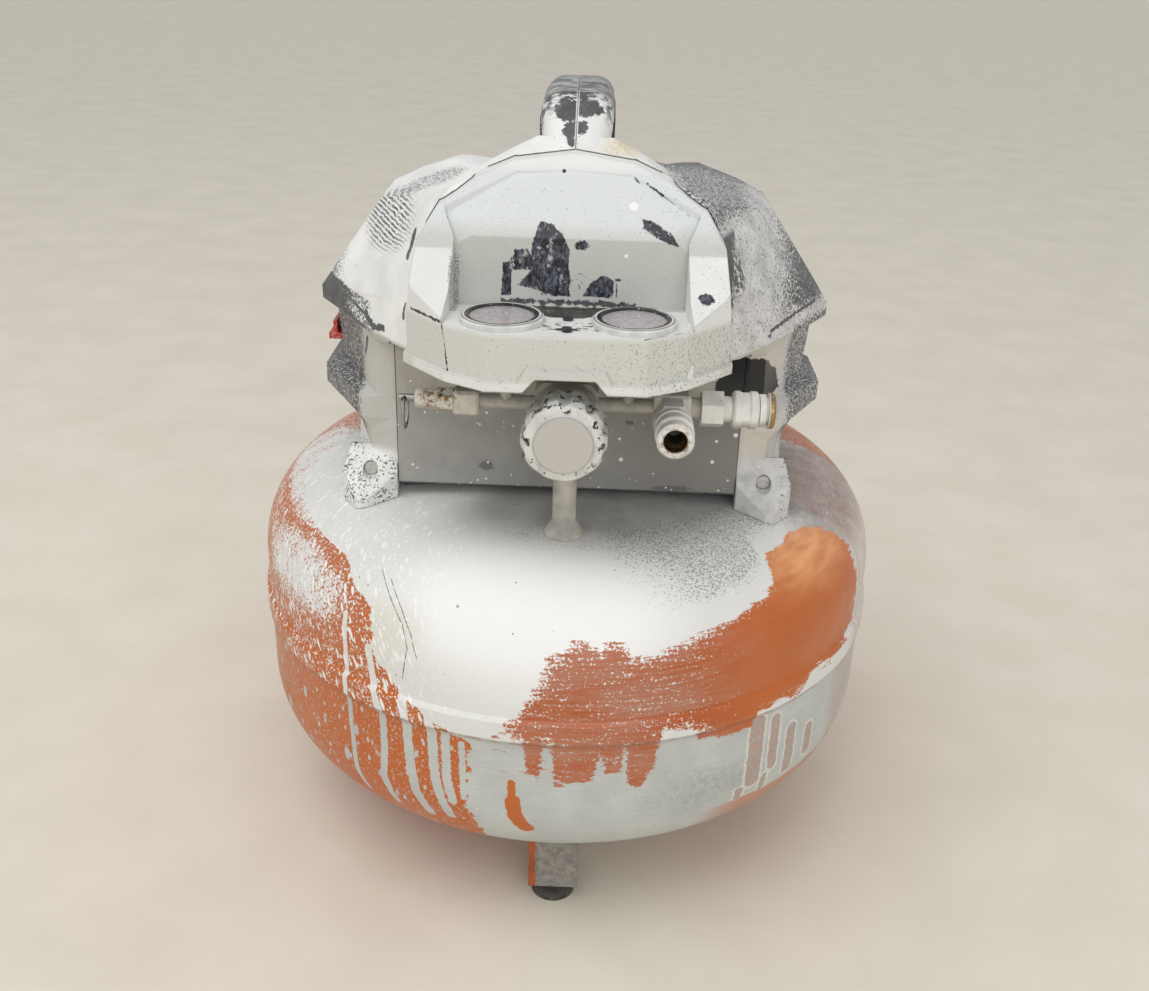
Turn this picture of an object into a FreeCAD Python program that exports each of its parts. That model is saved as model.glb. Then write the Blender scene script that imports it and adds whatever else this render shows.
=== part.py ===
import FreeCAD, Part
import math
import os
from FreeCAD import Vector

# Portable pancake air compressor: a flat round tank on four legs, with the pump,
# motor, manifold and gauges above it under a faceted shroud with a carry handle.
# Millimetres, +Z up, front at -Y, origin on the floor under the tank's axis.

# Tank
tank_radius = 200.0
tank_floor_gap = 40.0
tank_height = 206.0
tank_wall = 2.0
knuckle_radius = 55.0
head_depth = 62.0
seam_above_tank_base = 106.0
lap_height = 12.0
lap_clearance = 0.2
bead_drop = 3.5

# Legs, feet and their screws
leg_count = 4
leg_width = 30.0
leg_depth = 30.0
leg_plate = 3.0
foot_centre_radius = 151.0
foot_height = 13.0
foot_radius = 15.0
foot_taper = 1.5
foot_screw_radius = 2.8
foot_screw_head_radius = 5.5
foot_screw_head = 3.5
foot_screw_reach = 9.0
foot_recess_depth = 6.0

# Compressed air line in front of the shroud
line_y = -126.0
line_above_tank = 72.5
nipple_radius = 4.0
stub_radius = 6.75
stub_bore_radius = 4.0
stub_flare = 5.0
regulator_half_width = 17.0
regulator_depth = 30.0
regulator_half_height = 17.0
bonnet_radius = 18.5
bonnet_length = 16.0
nose_radius = 14.0
nose_length = 14.0
bonnet_wall = 3.0
diaphragm_thickness = 1.5
screw_radius = 4.0
running_clearance = 0.05
knob_radius = 22.3
knob_length = 24.0
knob_face_radius = 15.0
knob_face_rise = 2.0
knob_shoulder = 7.0
knob_lobes = 10
knob_groove_radius = 4.0
knob_groove_depth = 1.9
knob_gap = 4.0
knob_nose_clearance = 1.5

# Blocks and safety valve at the ends of the air line
safety_block_size = 14.0
safety_block_x = -55.0
safety_hex_flats = 12.0
safety_hex_length = 9.0
safety_barrel_radius = 5.5
safety_barrel_length = 12.0
safety_stem_radius = 2.2
safety_stem_reach = 9.0
safety_stem_inside = 8.0
safety_travel = 3.0
ring_radius = 8.5
ring_wire = 0.9
ring_hole_radius = 1.6
tee_block_size = 20.0
tee_block_x = 57.0

# Quick couplers, drawn from the base at 0 to the mouth
coupler_length = 40.0
coupler_hex_flats = 18.0
coupler_hex_length = 12.0
coupler_barrel_radius = 7.2
coupler_bore_radius = 4.1
coupler_bore_start = 6.0
coupler_mouth_radius = 5.8
coupler_mouth_depth = 6.0
coupler_sleeve_radius = 10.4
coupler_sleeve_length = 14.0
coupler_sleeve_start = 17.0
coupler_flange_radius = 9.0
coupler_flange_length = 3.5
coupler_ring_radius = 9.8
coupler_ring_length = 3.5
coupler_gap = 0.5
coupler_base_gap = 6.0
sleeve_clearance = 0.3

# Gauges
gauge_x = 33.3
gauge_y = -160.0
gauge_bezel_radius = 21.5
gauge_body_radius = 19.5
gauge_bezel_height = 3.5
gauge_body_depth = 21.0
gauge_cavity_radius = 18.5
gauge_cavity_depth = 9.0
gauge_window_radius = 16.4
gauge_lens_thickness = 1.2
gauge_lens_inset = 1.0
gauge_dial_thickness = 0.8
needle_length = 13.0
needle_tail = 4.0
needle_width = 1.2
needle_thickness = 0.6
needle_hub_radius = 2.2
needle_pin_radius = 1.0
needle_zero_angle = 225.0
gauge_tube_radius = 3.5
gauge_elbow_wall = 0.7
gauge_hole_clearance = 0.4

# Console that carries the gauges
console_wall = 3.0
console_above_line = 27.5
deck_rise = 29.0
console_front = -184.0
console_front_half = 40.0
console_half_width = 84.0
console_back = -117.0
console_height = 103.0
console_top_back = -88.0
console_lip = 5.0
console_lip_proud = 2.0
console_lip_end = -128.0
console_notch_half = 21.0
console_notch_slope = 6.0
console_notch_rise = 7.0
console_clearance = 0.5
pocket_back = -131.0
pocket_half_width = 60.0
pocket_flare = 6.0
console_screw_radius = 1.6
console_screw_head_radius = 2.6
console_screw_head = 1.8
console_screw_length = 12.0
console_screw_first = -156.0
console_screw_pitch = 19.0

# Shroud
shroud_wall = 3.0
shroud_lift = 3.0
ridge_half_width = 154.5
skirt_y = -84.0
skirt_half_width = 101.0
skirt_bend = 2.5
skirt_bend_height = 38.0
skirt_height = 94.0
rear_y = 108.0
seam_gap = 0.15
rear_cover_half_width = 80.0
rear_cover_lift = 13.0
rear_cover_height = 74.0
panel_clearance = 0.4
vent_count = 9
vent_width = 5.0
vent_height = 50.0
vent_pitch = 12.0
vent_x = 18.0
gland_x = -60.0
gland_lift = 36.0
gland_radius = 9.0
gland_thread_radius = 7.0
gland_bore_radius = 4.0
gland_length = 14.0

# Handle
handle_half_width = 20.0
handle_front_half = 15.5
handle_above_console = 27.0
handle_thickness = 28.0
handle_under_slope = 5.0
handle_front = -97.0
handle_back = 97.0
handle_bend = -62.0
handle_gap_front = -46.0
handle_gap_back = 42.0
handle_gap_depth = 30.0
handle_round = 11.0
handle_under_round = 6.0
grip_depth = 2.4
grip_proud = 0.6

# Corner feet of the shroud
corner_inner_x = 100.0
corner_screw_x = 117.3
corner_screw_lift = 8.0
corner_back_y = 76.0
corner_tank_clearance = 0.3
corner_screw_radius = 2.0
corner_screw_head_radius = 4.0
corner_screw_head = 2.5
corner_screw_length = 22.0
corner_recess_y = 82.0

# Saddle bracket and pump frame
saddle_half_x = 100.0
saddle_half_y = 72.0
saddle_plate = 2.5
saddle_lift = 4.0
saddle_flange_drop = 12.0
ear_half_width = 9.0
ear_height = 18.0
mount_radius = 10.0
mount_height = 10.0
mount_x = 66.0
mount_y = 46.0
mount_stud_radius = 3.0
frame_plate = 5.0
frame_half_x = 88.0
frame_half_y = 56.0
web_front = 30.0
web_plate = 6.0
web_half_x = 96.0

# Motor
motor_x = -55.0
motor_above_tank = 64.0
stator_radius = 40.0
stator_bore_radius = 23.0
stator_front = -45.0
stator_back = 20.0
air_gap = 0.5
rotor_margin = 3.0
shaft_radius = 4.0
bearing_radius = 11.0
end_bell_thickness = 4.0
end_bell_gap = 8.0
fan_radius = 36.0
fan_thickness = 8.0
fan_blades = 9
fan_hub_radius = 10.0
pulley_radius = 11.0
belt_front = 46.0
belt_width = 10.0
belt_thickness = 2.0
belt_clearance = 0.3

# Crank, rod, piston and cylinder
crank_x = 50.0
crank_above_tank = 58.0
crank_throw = 12.0
crank_shaft_radius = 6.0
crank_bearing_radius = 14.0
crank_disc_radius = 22.0
crank_disc_thickness = 8.0
crank_disc_front = 14.0
crank_pin_radius = 5.0
wheel_radius = 33.0
wheel_hub_radius = 11.0
wheel_rim = 5.0
wheel_spokes = 5
cylinder_y = -8.0
rod_length = 66.0
rod_eye_radius = 11.0
rod_width = 12.0
rod_thickness = 12.0
open_pivot_gap = 0.5
piston_radius = 24.8
piston_height = 10.0
cylinder_bore_radius = 25.0
cylinder_wall = 3.0
cylinder_height = 50.0
deck_above_crank = 34.0
deck_plate = 6.0
head_half = 36.0
valve_plate_thickness = 5.0
head_height = 18.0
head_cavity = 11.0
head_wall = 4.0
head_screw_offset = 30.0
head_screw_radius = 2.5
head_screw_head_radius = 4.5
head_screw_head = 4.0
reed_length = 22.0
reed_width = 8.0
reed_thickness = 0.4
port_radius = 2.5
filter_radius = 13.0
filter_length = 12.0

# Delivery tube, check valve, pressure switch and drain
tube_x = 0.0
tube_y = -20.0
tube_radius = 4.0
tube_bore_radius = 2.5
tube_bend = 10.0
check_hex_flats = 19.0
check_height = 34.0
check_bore_radius = 6.0
poppet_radius = 5.7
poppet_height = 8.0
poppet_travel = 2.0
check_seat = 8.0
switch_front = -32.0
switch_back = 16.0
switch_x_inner = -98.0
switch_x_outer = -132.0
switch_above_tank = 46.0
switch_height = 42.0
switch_nipple_x = -112.0
switch_nipple_radius = 5.0
lever_pivot_x = -135.5
lever_y = -8.0
lever_above_switch_base = 26.0
lever_pin_radius = 1.8
lever_half_length = 10.0
lever_reach = 153.0
lever_slot_below = 12.0
lever_slot_above = 20.0
bung_radius = 11.0
bung_height = 8.0
drain_body_radius = 6.5
drain_body_height = 11.0
drain_knob_radius = 9.0
drain_knob_height = 7.0
drain_stem_radius = 2.5
drain_gap = 0.4

# Heights that follow from the ones above
tank_top = tank_floor_gap + tank_height
line_height = tank_top + line_above_tank
console_bottom = line_height + console_above_line
console_deck = console_bottom + deck_rise
console_top = console_bottom + console_height
shroud_bottom = tank_top + shroud_lift
skirt_top = shroud_bottom + skirt_height
rear_cover_bottom = shroud_bottom + rear_cover_lift
rear_cover_top = rear_cover_bottom + rear_cover_height
gland_z = shroud_bottom + gland_lift
corner_screw_z = shroud_bottom + corner_screw_lift
handle_top = console_top + handle_above_console
handle_under = handle_top - handle_thickness
handle_gap_bottom = handle_under - handle_gap_depth
motor_z = tank_top + motor_above_tank
crank_z = tank_top + crank_above_tank
deck_bottom = crank_z + deck_above_crank
cylinder_top = deck_bottom + cylinder_height
switch_bottom = tank_top + switch_above_tank
switch_top = switch_bottom + switch_height
lever_z = switch_bottom + lever_above_switch_base
tank_seam = tank_floor_gap + seam_above_tank_base
lap_top = tank_seam + lap_height
knob_back = line_y - regulator_depth / 2 - diaphragm_thickness - bonnet_length - knob_gap
bonnet_back = line_y - regulator_depth / 2 - diaphragm_thickness
saddle_z = tank_top + saddle_lift
frame_z = saddle_z + saddle_plate + mount_height
BIG = 600.0

X_AXIS = Vector(1, 0, 0)
Y_AXIS = Vector(0, 1, 0)
Z_AXIS = Vector(0, 0, 1)


def box(x0, x1, y0, y1, z0, z1):
    return Part.makeBox(x1 - x0, y1 - y0, z1 - z0, Vector(x0, y0, z0))


def cylinder(radius, start, axis, length):
    return Part.makeCylinder(radius, length, start, axis)


def tube(outer, inner, start, axis, length):
    return cylinder(outer, start, axis, length).cut(cylinder(inner, start, axis, length))


def fuse(shapes):
    whole = shapes[0].multiFuse(shapes[1:]) if len(shapes) > 1 else shapes[0]
    return whole.removeSplitter()


def cut_all(shape, tools):
    for tool in tools:
        shape = shape.cut(tool)
    return shape


def largest_solid(shape):
    return max(shape.Solids, key=lambda solid: solid.Volume)


def polygon_face(points):
    wire = Part.makePolygon(points + [points[0]])
    return Part.Face(wire)


def prism_x(points, x0, x1):
    """Closed (y, z) outline pushed along X."""
    face = polygon_face([Vector(x0, y, z) for y, z in points])
    return face.extrude(Vector(x1 - x0, 0, 0))


def prism_y(points, y0, y1):
    """Closed (x, z) outline pushed along Y."""
    face = polygon_face([Vector(x, y0, z) for x, z in points])
    return face.extrude(Vector(0, y1 - y0, 0))


def prism_z(points, z0, z1):
    """Closed (x, y) outline pushed along Z."""
    face = polygon_face([Vector(x, y, z0) for x, y in points])
    return face.extrude(Vector(0, 0, z1 - z0))


def mirrored(points):
    """Right half of an outline, listed bottom to top, closed with its mirror image."""
    left = [(-x, z) for x, z in reversed(points) if abs(x) > 1e-6]
    return list(points) + left


def inset(points, distance):
    """Outline moved inwards by a distance, for an outline listed anticlockwise."""
    moved = []
    count = len(points)
    for i in range(count):
        before = points[i - 1]
        here = points[i]
        after = points[(i + 1) % count]
        e1 = unit2(here[0] - before[0], here[1] - before[1])
        e2 = unit2(after[0] - here[0], after[1] - here[1])
        n1 = (-e1[1], e1[0])
        n2 = (-e2[1], e2[0])
        scale = distance / (1 + n1[0] * n2[0] + n1[1] * n2[1])
        moved.append((here[0] + (n1[0] + n2[0]) * scale, here[1] + (n1[1] + n2[1]) * scale))
    return moved


def unit2(x, y):
    length = math.hypot(x, y)
    return x / length, y / length


def hexagon(flats, start, axis, length):
    """Hexagonal bar from start along axis, measured across its flats."""
    corner = flats / math.sqrt(3)
    points = []
    for i in range(6):
        angle = math.radians(60 * i)
        points.append(Vector(corner * math.cos(angle), corner * math.sin(angle), 0))
    bar = polygon_face(points).extrude(Vector(0, 0, length))
    bar.Placement = FreeCAD.Placement(start, FreeCAD.Rotation(Z_AXIS, axis))
    return bar


def revolve_about(points, base, axis):
    """Turned body from (radius, distance along axis) points."""
    face = polygon_face([Vector(r, 0, h) for r, h in points])
    body = face.revolve(Vector(0, 0, 0), Z_AXIS, 360)
    body.Placement = FreeCAD.Placement(base, FreeCAD.Rotation(Z_AXIS, axis))
    return body


def around_z(shape, count, first=0.0):
    copies = []
    for i in range(count):
        turned = shape.copy()
        turned.rotate(Vector(0, 0, 0), Z_AXIS, first + 360.0 * i / count)
        copies.append(turned)
    return copies


# Tank

def tank_solid(shrink):
    """Torispherical tank, inset evenly by shrink."""
    radius = tank_radius - shrink
    knuckle = knuckle_radius - shrink
    depth = head_depth - shrink
    top = tank_top - shrink
    bottom = tank_floor_gap + shrink
    crown = ((radius - knuckle) ** 2 + depth ** 2 - knuckle ** 2) / (2 * (depth - knuckle))
    reach = (radius - knuckle) / (crown - knuckle)
    rise = (crown - depth) / (crown - knuckle)
    join_r = crown * reach
    join_h = crown * (1 - rise)
    mid_r = crown * math.sin(math.asin(reach) / 2)
    mid_h = crown - math.sqrt(crown ** 2 - mid_r ** 2)
    lean = (math.asin(reach) + math.pi / 2) / 2
    bend_r = radius - knuckle + knuckle * math.sin(lean)
    bend_h = depth - knuckle * math.cos(lean)
    edges = [
        Part.Arc(Vector(0, 0, bottom), Vector(mid_r, 0, bottom + mid_h), Vector(join_r, 0, bottom + join_h)),
        Part.Arc(Vector(join_r, 0, bottom + join_h), Vector(bend_r, 0, bottom + bend_h),
                 Vector(radius, 0, bottom + depth)),
        Part.LineSegment(Vector(radius, 0, bottom + depth), Vector(radius, 0, top - depth)),
        Part.Arc(Vector(radius, 0, top - depth), Vector(bend_r, 0, top - bend_h),
                 Vector(join_r, 0, top - join_h)),
        Part.Arc(Vector(join_r, 0, top - join_h), Vector(mid_r, 0, top - mid_h), Vector(0, 0, top)),
        Part.LineSegment(Vector(0, 0, top), Vector(0, 0, bottom)),
    ]
    wire = Part.Wire([edge.toShape() for edge in edges])
    return Part.Face(wire).revolve(Vector(0, 0, 0), Z_AXIS, 360)


def tank_halves():
    """Upper head whose skirt laps over the lower head, which holds the weld bead and drain bung."""
    shell = tank_solid(0).cut(tank_solid(tank_wall))
    above = box(-BIG, BIG, -BIG, BIG, lap_top + lap_clearance, BIG)
    below = box(-BIG, BIG, -BIG, BIG, -BIG, lap_top)
    lap_outer = tank_radius + lap_clearance + tank_wall
    lap_inner = tank_radius + lap_clearance
    skirt = tube(lap_outer, lap_inner, Vector(0, 0, tank_seam), Z_AXIS, lap_height + lap_clearance)
    collar = revolve_about([(tank_radius - tank_wall / 2, lap_top + lap_clearance),
                            (lap_outer, lap_top + lap_clearance),
                            (tank_radius - tank_wall / 2, lap_top + 2 * tank_wall)],
                           Vector(0, 0, 0), Z_AXIS)
    upper = fuse([shell.common(above), skirt, collar])
    bead = revolve_about([(tank_radius, tank_seam), (lap_outer, tank_seam),
                          (tank_radius, tank_seam - bead_drop)], Vector(0, 0, 0), Z_AXIS)
    lower = fuse([shell.common(below), bead, drain_bung()])
    return upper, lower


def tank_top_at(radius):
    """Height of the tank's upper skin at a radius inside the crown."""
    crown = ((tank_radius - knuckle_radius) ** 2 + head_depth ** 2 - knuckle_radius ** 2)
    crown /= 2 * (head_depth - knuckle_radius)
    return tank_top - (crown - math.sqrt(crown ** 2 - radius ** 2))


# Legs and feet

def leg_parts():
    """One front leg, its rubber foot and its screw, each to be repeated round the tank."""
    centre = -foot_centre_radius
    top = tank_floor_gap + head_depth
    outer = box(-leg_width / 2, leg_width / 2, centre - leg_depth / 2, centre + leg_depth / 2, foot_height, top)
    inner = box(-leg_width / 2 + leg_plate, leg_width / 2 - leg_plate, centre - leg_depth / 2 + leg_plate,
                centre + leg_depth, foot_height + leg_plate, top)
    hole = cylinder(foot_screw_radius, Vector(0, centre, 0), Z_AXIS, BIG)
    leg = outer.cut(inner).cut(hole).cut(tank_solid(0))
    low = foot_radius - foot_taper
    foot = revolve_about([(foot_screw_radius, foot_recess_depth), (foot_screw_head_radius + foot_taper, foot_recess_depth),
                          (foot_screw_head_radius + foot_taper, 0), (low, 0), (foot_radius, foot_height),
                          (foot_screw_radius, foot_height)], Vector(0, centre, 0), Z_AXIS)
    head_z = foot_recess_depth - foot_screw_head
    screw = fuse([cylinder(foot_screw_head_radius, Vector(0, centre, head_z), Z_AXIS, foot_screw_head),
                  cylinder(foot_screw_radius, Vector(0, centre, head_z), Z_AXIS,
                           foot_screw_head + foot_height - foot_recess_depth + foot_screw_reach)])
    return largest_solid(leg), foot, screw


# Air line

def outlet_stub():
    """Riser from the tank's top head to the regulator body, with a flared weld."""
    base = tank_top_at(abs(line_y)) - stub_flare
    top = line_height - regulator_half_height
    riser = revolve_about([(stub_bore_radius, base), (stub_radius + 1.6 * stub_flare, base),
                           (stub_radius, base + 2.5 * stub_flare), (stub_radius, top), (stub_bore_radius, top)],
                          Vector(0, line_y, 0), Z_AXIS)
    return riser.cut(tank_solid(0))


def regulator_parts():
    """Body block, bonnet, diaphragm, spring, adjusting screw and lobed knob."""
    back = line_y + regulator_depth / 2
    front = line_y - regulator_depth / 2
    corner = 5.0
    w, h = regulator_half_width, regulator_half_height
    outline = [(-w + corner, -h), (w - corner, -h), (w, -h + corner), (w, h - corner), (w - corner, h),
               (-w + corner, h), (-w, h - corner), (-w, -h + corner)]
    body = prism_y([(x, z + line_height) for x, z in outline], front, back)
    passage = cylinder(nipple_radius, Vector(-w, line_y, line_height), X_AXIS, 2 * w)
    rise = cylinder(stub_bore_radius, Vector(0, line_y, line_height - h), Z_AXIS, h)
    body = body.cut(passage).cut(rise)
    axis_at = Vector(0, 0, line_height)
    disc = cylinder(bonnet_radius - bonnet_wall / 2, Vector(0, front, 0) + axis_at, -Y_AXIS, diaphragm_thickness)
    cavity = bonnet_radius - bonnet_wall
    room = bonnet_length - bonnet_wall
    bore = screw_radius + running_clearance
    bonnet = revolve_about([(bore, room), (cavity, room), (cavity, 0), (bonnet_radius, 0),
                            (bonnet_radius, bonnet_length - 2), (bonnet_radius - 2, bonnet_length),
                            (nose_radius, bonnet_length), (nose_radius, bonnet_length + nose_length),
                            (bore, bonnet_length + nose_length)], Vector(0, bonnet_back, 0) + axis_at, -Y_AXIS)
    spring = tube(cavity - 4, cavity - 6, Vector(0, bonnet_back, 0) + axis_at, -Y_AXIS, room - 1)
    screw_start = bonnet_back - room + 1
    knob_front = knob_back - knob_length
    screw_end = knob_front + knob_shoulder
    screw = cylinder(screw_radius, Vector(0, screw_start, 0) + axis_at, -Y_AXIS, screw_start - screw_end)
    return body, bonnet, disc, spring, screw


def regulator_knob():
    hollow = nose_radius + knob_nose_clearance
    depth = knob_length - knob_shoulder - 2
    outline = [(screw_radius, depth), (hollow, depth), (hollow, 0), (knob_radius - 1.5, 0), (knob_radius, 1.5),
               (knob_radius, knob_length - knob_shoulder), (knob_radius - 2, knob_length - 3),
               (knob_face_radius + 1.5, knob_length - knob_face_rise), (knob_face_radius, knob_length),
               (0, knob_length), (0, knob_length - knob_shoulder), (screw_radius, knob_length - knob_shoulder)]
    base = Vector(0, knob_back, line_height)
    knob = revolve_about(outline, base, -Y_AXIS)
    reach = knob_radius + knob_groove_radius - knob_groove_depth
    for i in range(knob_lobes):
        angle = 2 * math.pi * (i + 0.5) / knob_lobes
        spot = base + Vector(reach * math.cos(angle), 0, reach * math.sin(angle))
        knob = knob.cut(cylinder(knob_groove_radius, spot, -Y_AXIS, knob_length))
    return knob


def air_line_blocks():
    """Square block on the left, tee block on the right and the nipples between."""
    half = safety_block_size / 2
    start = safety_block_x - half
    block = box(start, safety_block_x + half, line_y - half, line_y + half, line_height - half, line_height + half)
    block = block.makeChamfer(1.5, block.Edges)
    tee_half = tee_block_size / 2
    tee = box(tee_block_x - tee_half, tee_block_x + tee_half, line_y - tee_half, line_y + tee_half,
              line_height - tee_half, line_height + tee_half)
    tee = tee.makeChamfer(1.5, tee.Edges)
    left_end = safety_block_x + half
    left = cylinder(nipple_radius, Vector(left_end, line_y, line_height), X_AXIS, -regulator_half_width - left_end)
    right = cylinder(nipple_radius, Vector(regulator_half_width, line_y, line_height), X_AXIS,
                     tee_block_x - tee_half - regulator_half_width)
    side = cylinder(1.5 * nipple_radius, Vector(tee_block_x + tee_half, line_y, line_height), X_AXIS,
                    side_coupler_base() - tee_block_x - tee_half)
    return block, tee, [left, right, side]


def side_coupler_base():
    return tee_block_x + tee_block_size / 2 + coupler_base_gap



def coupler(base, axis):
    """Quick coupler body and its sliding sleeve, from its base along its axis."""
    barrel_end = coupler_length - coupler_ring_length
    flange_start = coupler_sleeve_start + coupler_sleeve_length + coupler_gap
    r = coupler_barrel_radius
    points = [(0, 0), (coupler_hex_flats / 2, 0), (coupler_hex_flats / 2, coupler_hex_length), (r, coupler_hex_length),
              (r, flange_start), (coupler_flange_radius, flange_start),
              (coupler_flange_radius, flange_start + coupler_flange_length), (r, flange_start + coupler_flange_length),
              (r, barrel_end), (coupler_ring_radius, barrel_end), (coupler_ring_radius, coupler_length - 1),
              (coupler_ring_radius - 1, coupler_length), (coupler_mouth_radius + 1, coupler_length),
              (coupler_mouth_radius, coupler_length - 1), (coupler_mouth_radius, coupler_length - coupler_mouth_depth),
              (coupler_bore_radius, coupler_length - coupler_mouth_depth - 2),
              (coupler_bore_radius, coupler_bore_start), (0, coupler_bore_start)]
    body = fuse([revolve_about(points, base, axis), hexagon(coupler_hex_flats, base, axis, coupler_hex_length)])
    hole = revolve_about([(0, coupler_bore_start), (coupler_bore_radius, coupler_bore_start),
                          (coupler_bore_radius, coupler_length), (0, coupler_length)], base, axis)
    inner = r + sleeve_clearance
    outer = coupler_sleeve_radius
    s0 = coupler_sleeve_start
    s1 = s0 + coupler_sleeve_length
    sleeve = revolve_about([(inner, s0), (outer - 1.2, s0), (outer, s0 + 1.2), (outer, s0 + 4),
                            (outer - 0.8, s0 + 4.8), (outer - 0.8, s1 - 5), (outer, s1 - 4.2), (outer, s1 - 1),
                            (outer - 1, s1), (inner, s1)], base, axis)
    return body.cut(hole), sleeve


def safety_valve():
    """Hexagon and barrel, sprung stem and pull ring, pointing left."""
    start = safety_block_x - safety_block_size / 2
    at = Vector(start, line_y, line_height)
    bore = safety_stem_radius + running_clearance
    body = fuse([hexagon(safety_hex_flats, at, -X_AXIS, safety_hex_length),
                 cylinder(safety_barrel_radius, at, -X_AXIS, safety_hex_length + safety_barrel_length)])
    total = safety_hex_length + safety_barrel_length
    body = body.cut(cylinder(bore, at - X_AXIS * (total - safety_stem_inside - safety_travel), -X_AXIS, total))
    tip = start - total - safety_stem_reach
    stem = cylinder(safety_stem_radius, Vector(tip, line_y, line_height), X_AXIS, safety_stem_reach + safety_stem_inside)
    hole_at = Vector(tip + safety_stem_radius + 0.8, line_y - BIG / 2, line_height)
    stem = stem.cut(cylinder(ring_hole_radius, hole_at, Y_AXIS, BIG))
    ring_centre = Vector(tip + safety_stem_radius + 0.8, line_y, line_height - ring_radius)
    ring = Part.makeTorus(ring_radius, ring_wire, ring_centre, X_AXIS)
    return body, stem, ring


# Gauges

def gauge(x, turn):
    """Case with bezel, dial, lens and needle, all facing straight up."""
    top = console_deck + gauge_bezel_height
    floor = top - gauge_cavity_depth
    bottom = console_deck - gauge_body_depth
    at = Vector(x, gauge_y, 0)
    lens_top = top - gauge_lens_inset
    lens_low = lens_top - gauge_lens_thickness
    pin_bore = needle_pin_radius + running_clearance
    case = revolve_about([(pin_bore, bottom + 3), (pin_bore, floor), (gauge_cavity_radius, floor),
                          (gauge_cavity_radius, lens_low), (gauge_cavity_radius + 1, lens_low),
                          (gauge_cavity_radius + 1, lens_top), (gauge_window_radius, lens_top),
                          (gauge_window_radius, top - 0.4), (gauge_window_radius + 1.2, top),
                          (gauge_bezel_radius - 1.2, top), (gauge_bezel_radius, top - 1.2),
                          (gauge_bezel_radius, console_deck), (gauge_body_radius, console_deck),
                          (gauge_body_radius, bottom), (0, bottom), (0, bottom + 3)], at, Z_AXIS)
    dial = tube(gauge_cavity_radius, pin_bore, at + Z_AXIS * floor, Z_AXIS, gauge_dial_thickness)
    lens = cylinder(gauge_cavity_radius + 1, at + Z_AXIS * lens_low, Z_AXIS, gauge_lens_thickness)
    blade_z = floor + gauge_dial_thickness + 1.2
    pin = cylinder(needle_pin_radius, at + Z_AXIS * (floor - 4), Z_AXIS, blade_z - floor + 4)
    hub = cylinder(needle_hub_radius, at + Z_AXIS * blade_z, Z_AXIS, needle_thickness + 0.6)
    half = needle_width / 2
    outline = [(-needle_tail, -half), (0, -half), (needle_length, -half / 3), (needle_length, half / 3),
               (0, half), (-needle_tail, half)]
    blade = prism_z(outline, blade_z, blade_z + needle_thickness)
    blade.rotate(Vector(0, 0, 0), Z_AXIS, turn)
    blade.translate(at)
    return case, dial, lens, fuse([pin, hub, blade])


def gauge_tube(x):
    """Brass tube with square elbows, from a gauge's underside back and down to the air line."""
    low = console_deck - gauge_body_depth
    r = gauge_tube_radius
    half = r + gauge_elbow_wall
    run_z = low - half
    bend = Vector(x, gauge_y, run_z)
    turn = Vector(x, line_y, run_z)
    parts = [box(x - half, x + half, y - half, y + half, run_z - half, run_z + half) for y in (gauge_y, line_y)]
    parts += [cylinder(r, bend, Y_AXIS, line_y - gauge_y), cylinder(r, turn, -Z_AXIS, run_z - line_height)]
    nipple = cylinder(nipple_radius, Vector(-BIG / 2, line_y, line_height), X_AXIS, BIG)
    return largest_solid(fuse(parts).cut(nipple))


# Console

def console_front_outline():
    w = console_half_width
    b = console_bottom
    t = console_top
    half = [(w, b), (w, b + 25), (w - 4.5, t - 41), (w - 14, t - 25.5), (w - 23.5, t - 19.5), (w - 34, t - 12),
            (w - 52, t - 4.5), (0, t)]
    return mirrored(half)


def console_plan_outline():
    f = console_front
    w = console_half_width
    half = [(console_front_half, f), (w - 24, f + 12), (w, f + 39), (w, 0)]
    return half + [(-x, y) for x, y in reversed(half)]


def console_back_outline():
    """Lower to upper points of the console's back, as (y, z)."""
    return [(console_back, console_bottom), (console_back, console_top - 45), (console_top_back - 12, console_top - 19),
            (console_top_back, console_top + 1)]


def console_side_outline():
    rim = [(console_top_back - 16, console_top + 1), (console_top_back - 24, console_top - 9),
           (console_top_back - 37, console_top - 31), (console_front + 34, console_deck + 11),
           (console_front + 12, console_deck + 1), (console_front, console_deck)]
    return [(console_front, console_bottom)] + console_back_outline() + rim


def console_envelope(shrink):
    """Outer form of the console, inset evenly by shrink."""
    front = prism_y(inset(console_front_outline(), shrink), -BIG, 0)
    side = prism_x(inset(console_side_outline(), shrink), -BIG, BIG)
    plan = prism_z(inset(console_plan_outline(), shrink), 0, BIG)
    return front.common(side).common(plan)


def mirrored_row(half_row):
    """Points from the centre to the right, with their mirror images, from left to right."""
    return [Vector(-p.x, p.y, p.z) for p in reversed(half_row[1:])] + half_row


def console_void(grow):
    """Space above the gauge deck: a level floor, an upright back and facets that lean back."""
    w = pocket_half_width
    near = w + pocket_flare
    top = console_top + 60
    lower = prism_z([(-near - grow, console_front - 30), (near + grow, console_front - 30),
                     (w + grow, pocket_back + grow), (-w - grow, pocket_back + grow)],
                    console_deck - grow, top)
    y0 = pocket_back + grow - 0.5
    wall_top = console_deck - grow
    low = mirrored_row([Vector(0, y0, wall_top + 44.5), Vector(w - 22, y0, wall_top + 40.5),
                        Vector(w + grow, y0, wall_top + 30.5)])
    rim_y = console_top_back - 24 + grow
    high = mirrored_row([Vector(0, rim_y + 1, wall_top + 66), Vector(w / 2, rim_y, wall_top + 64),
                         Vector(near + grow, rim_y - 10, wall_top + 44)])
    return fuse([lower, solid_above(low, high, top)])


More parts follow.
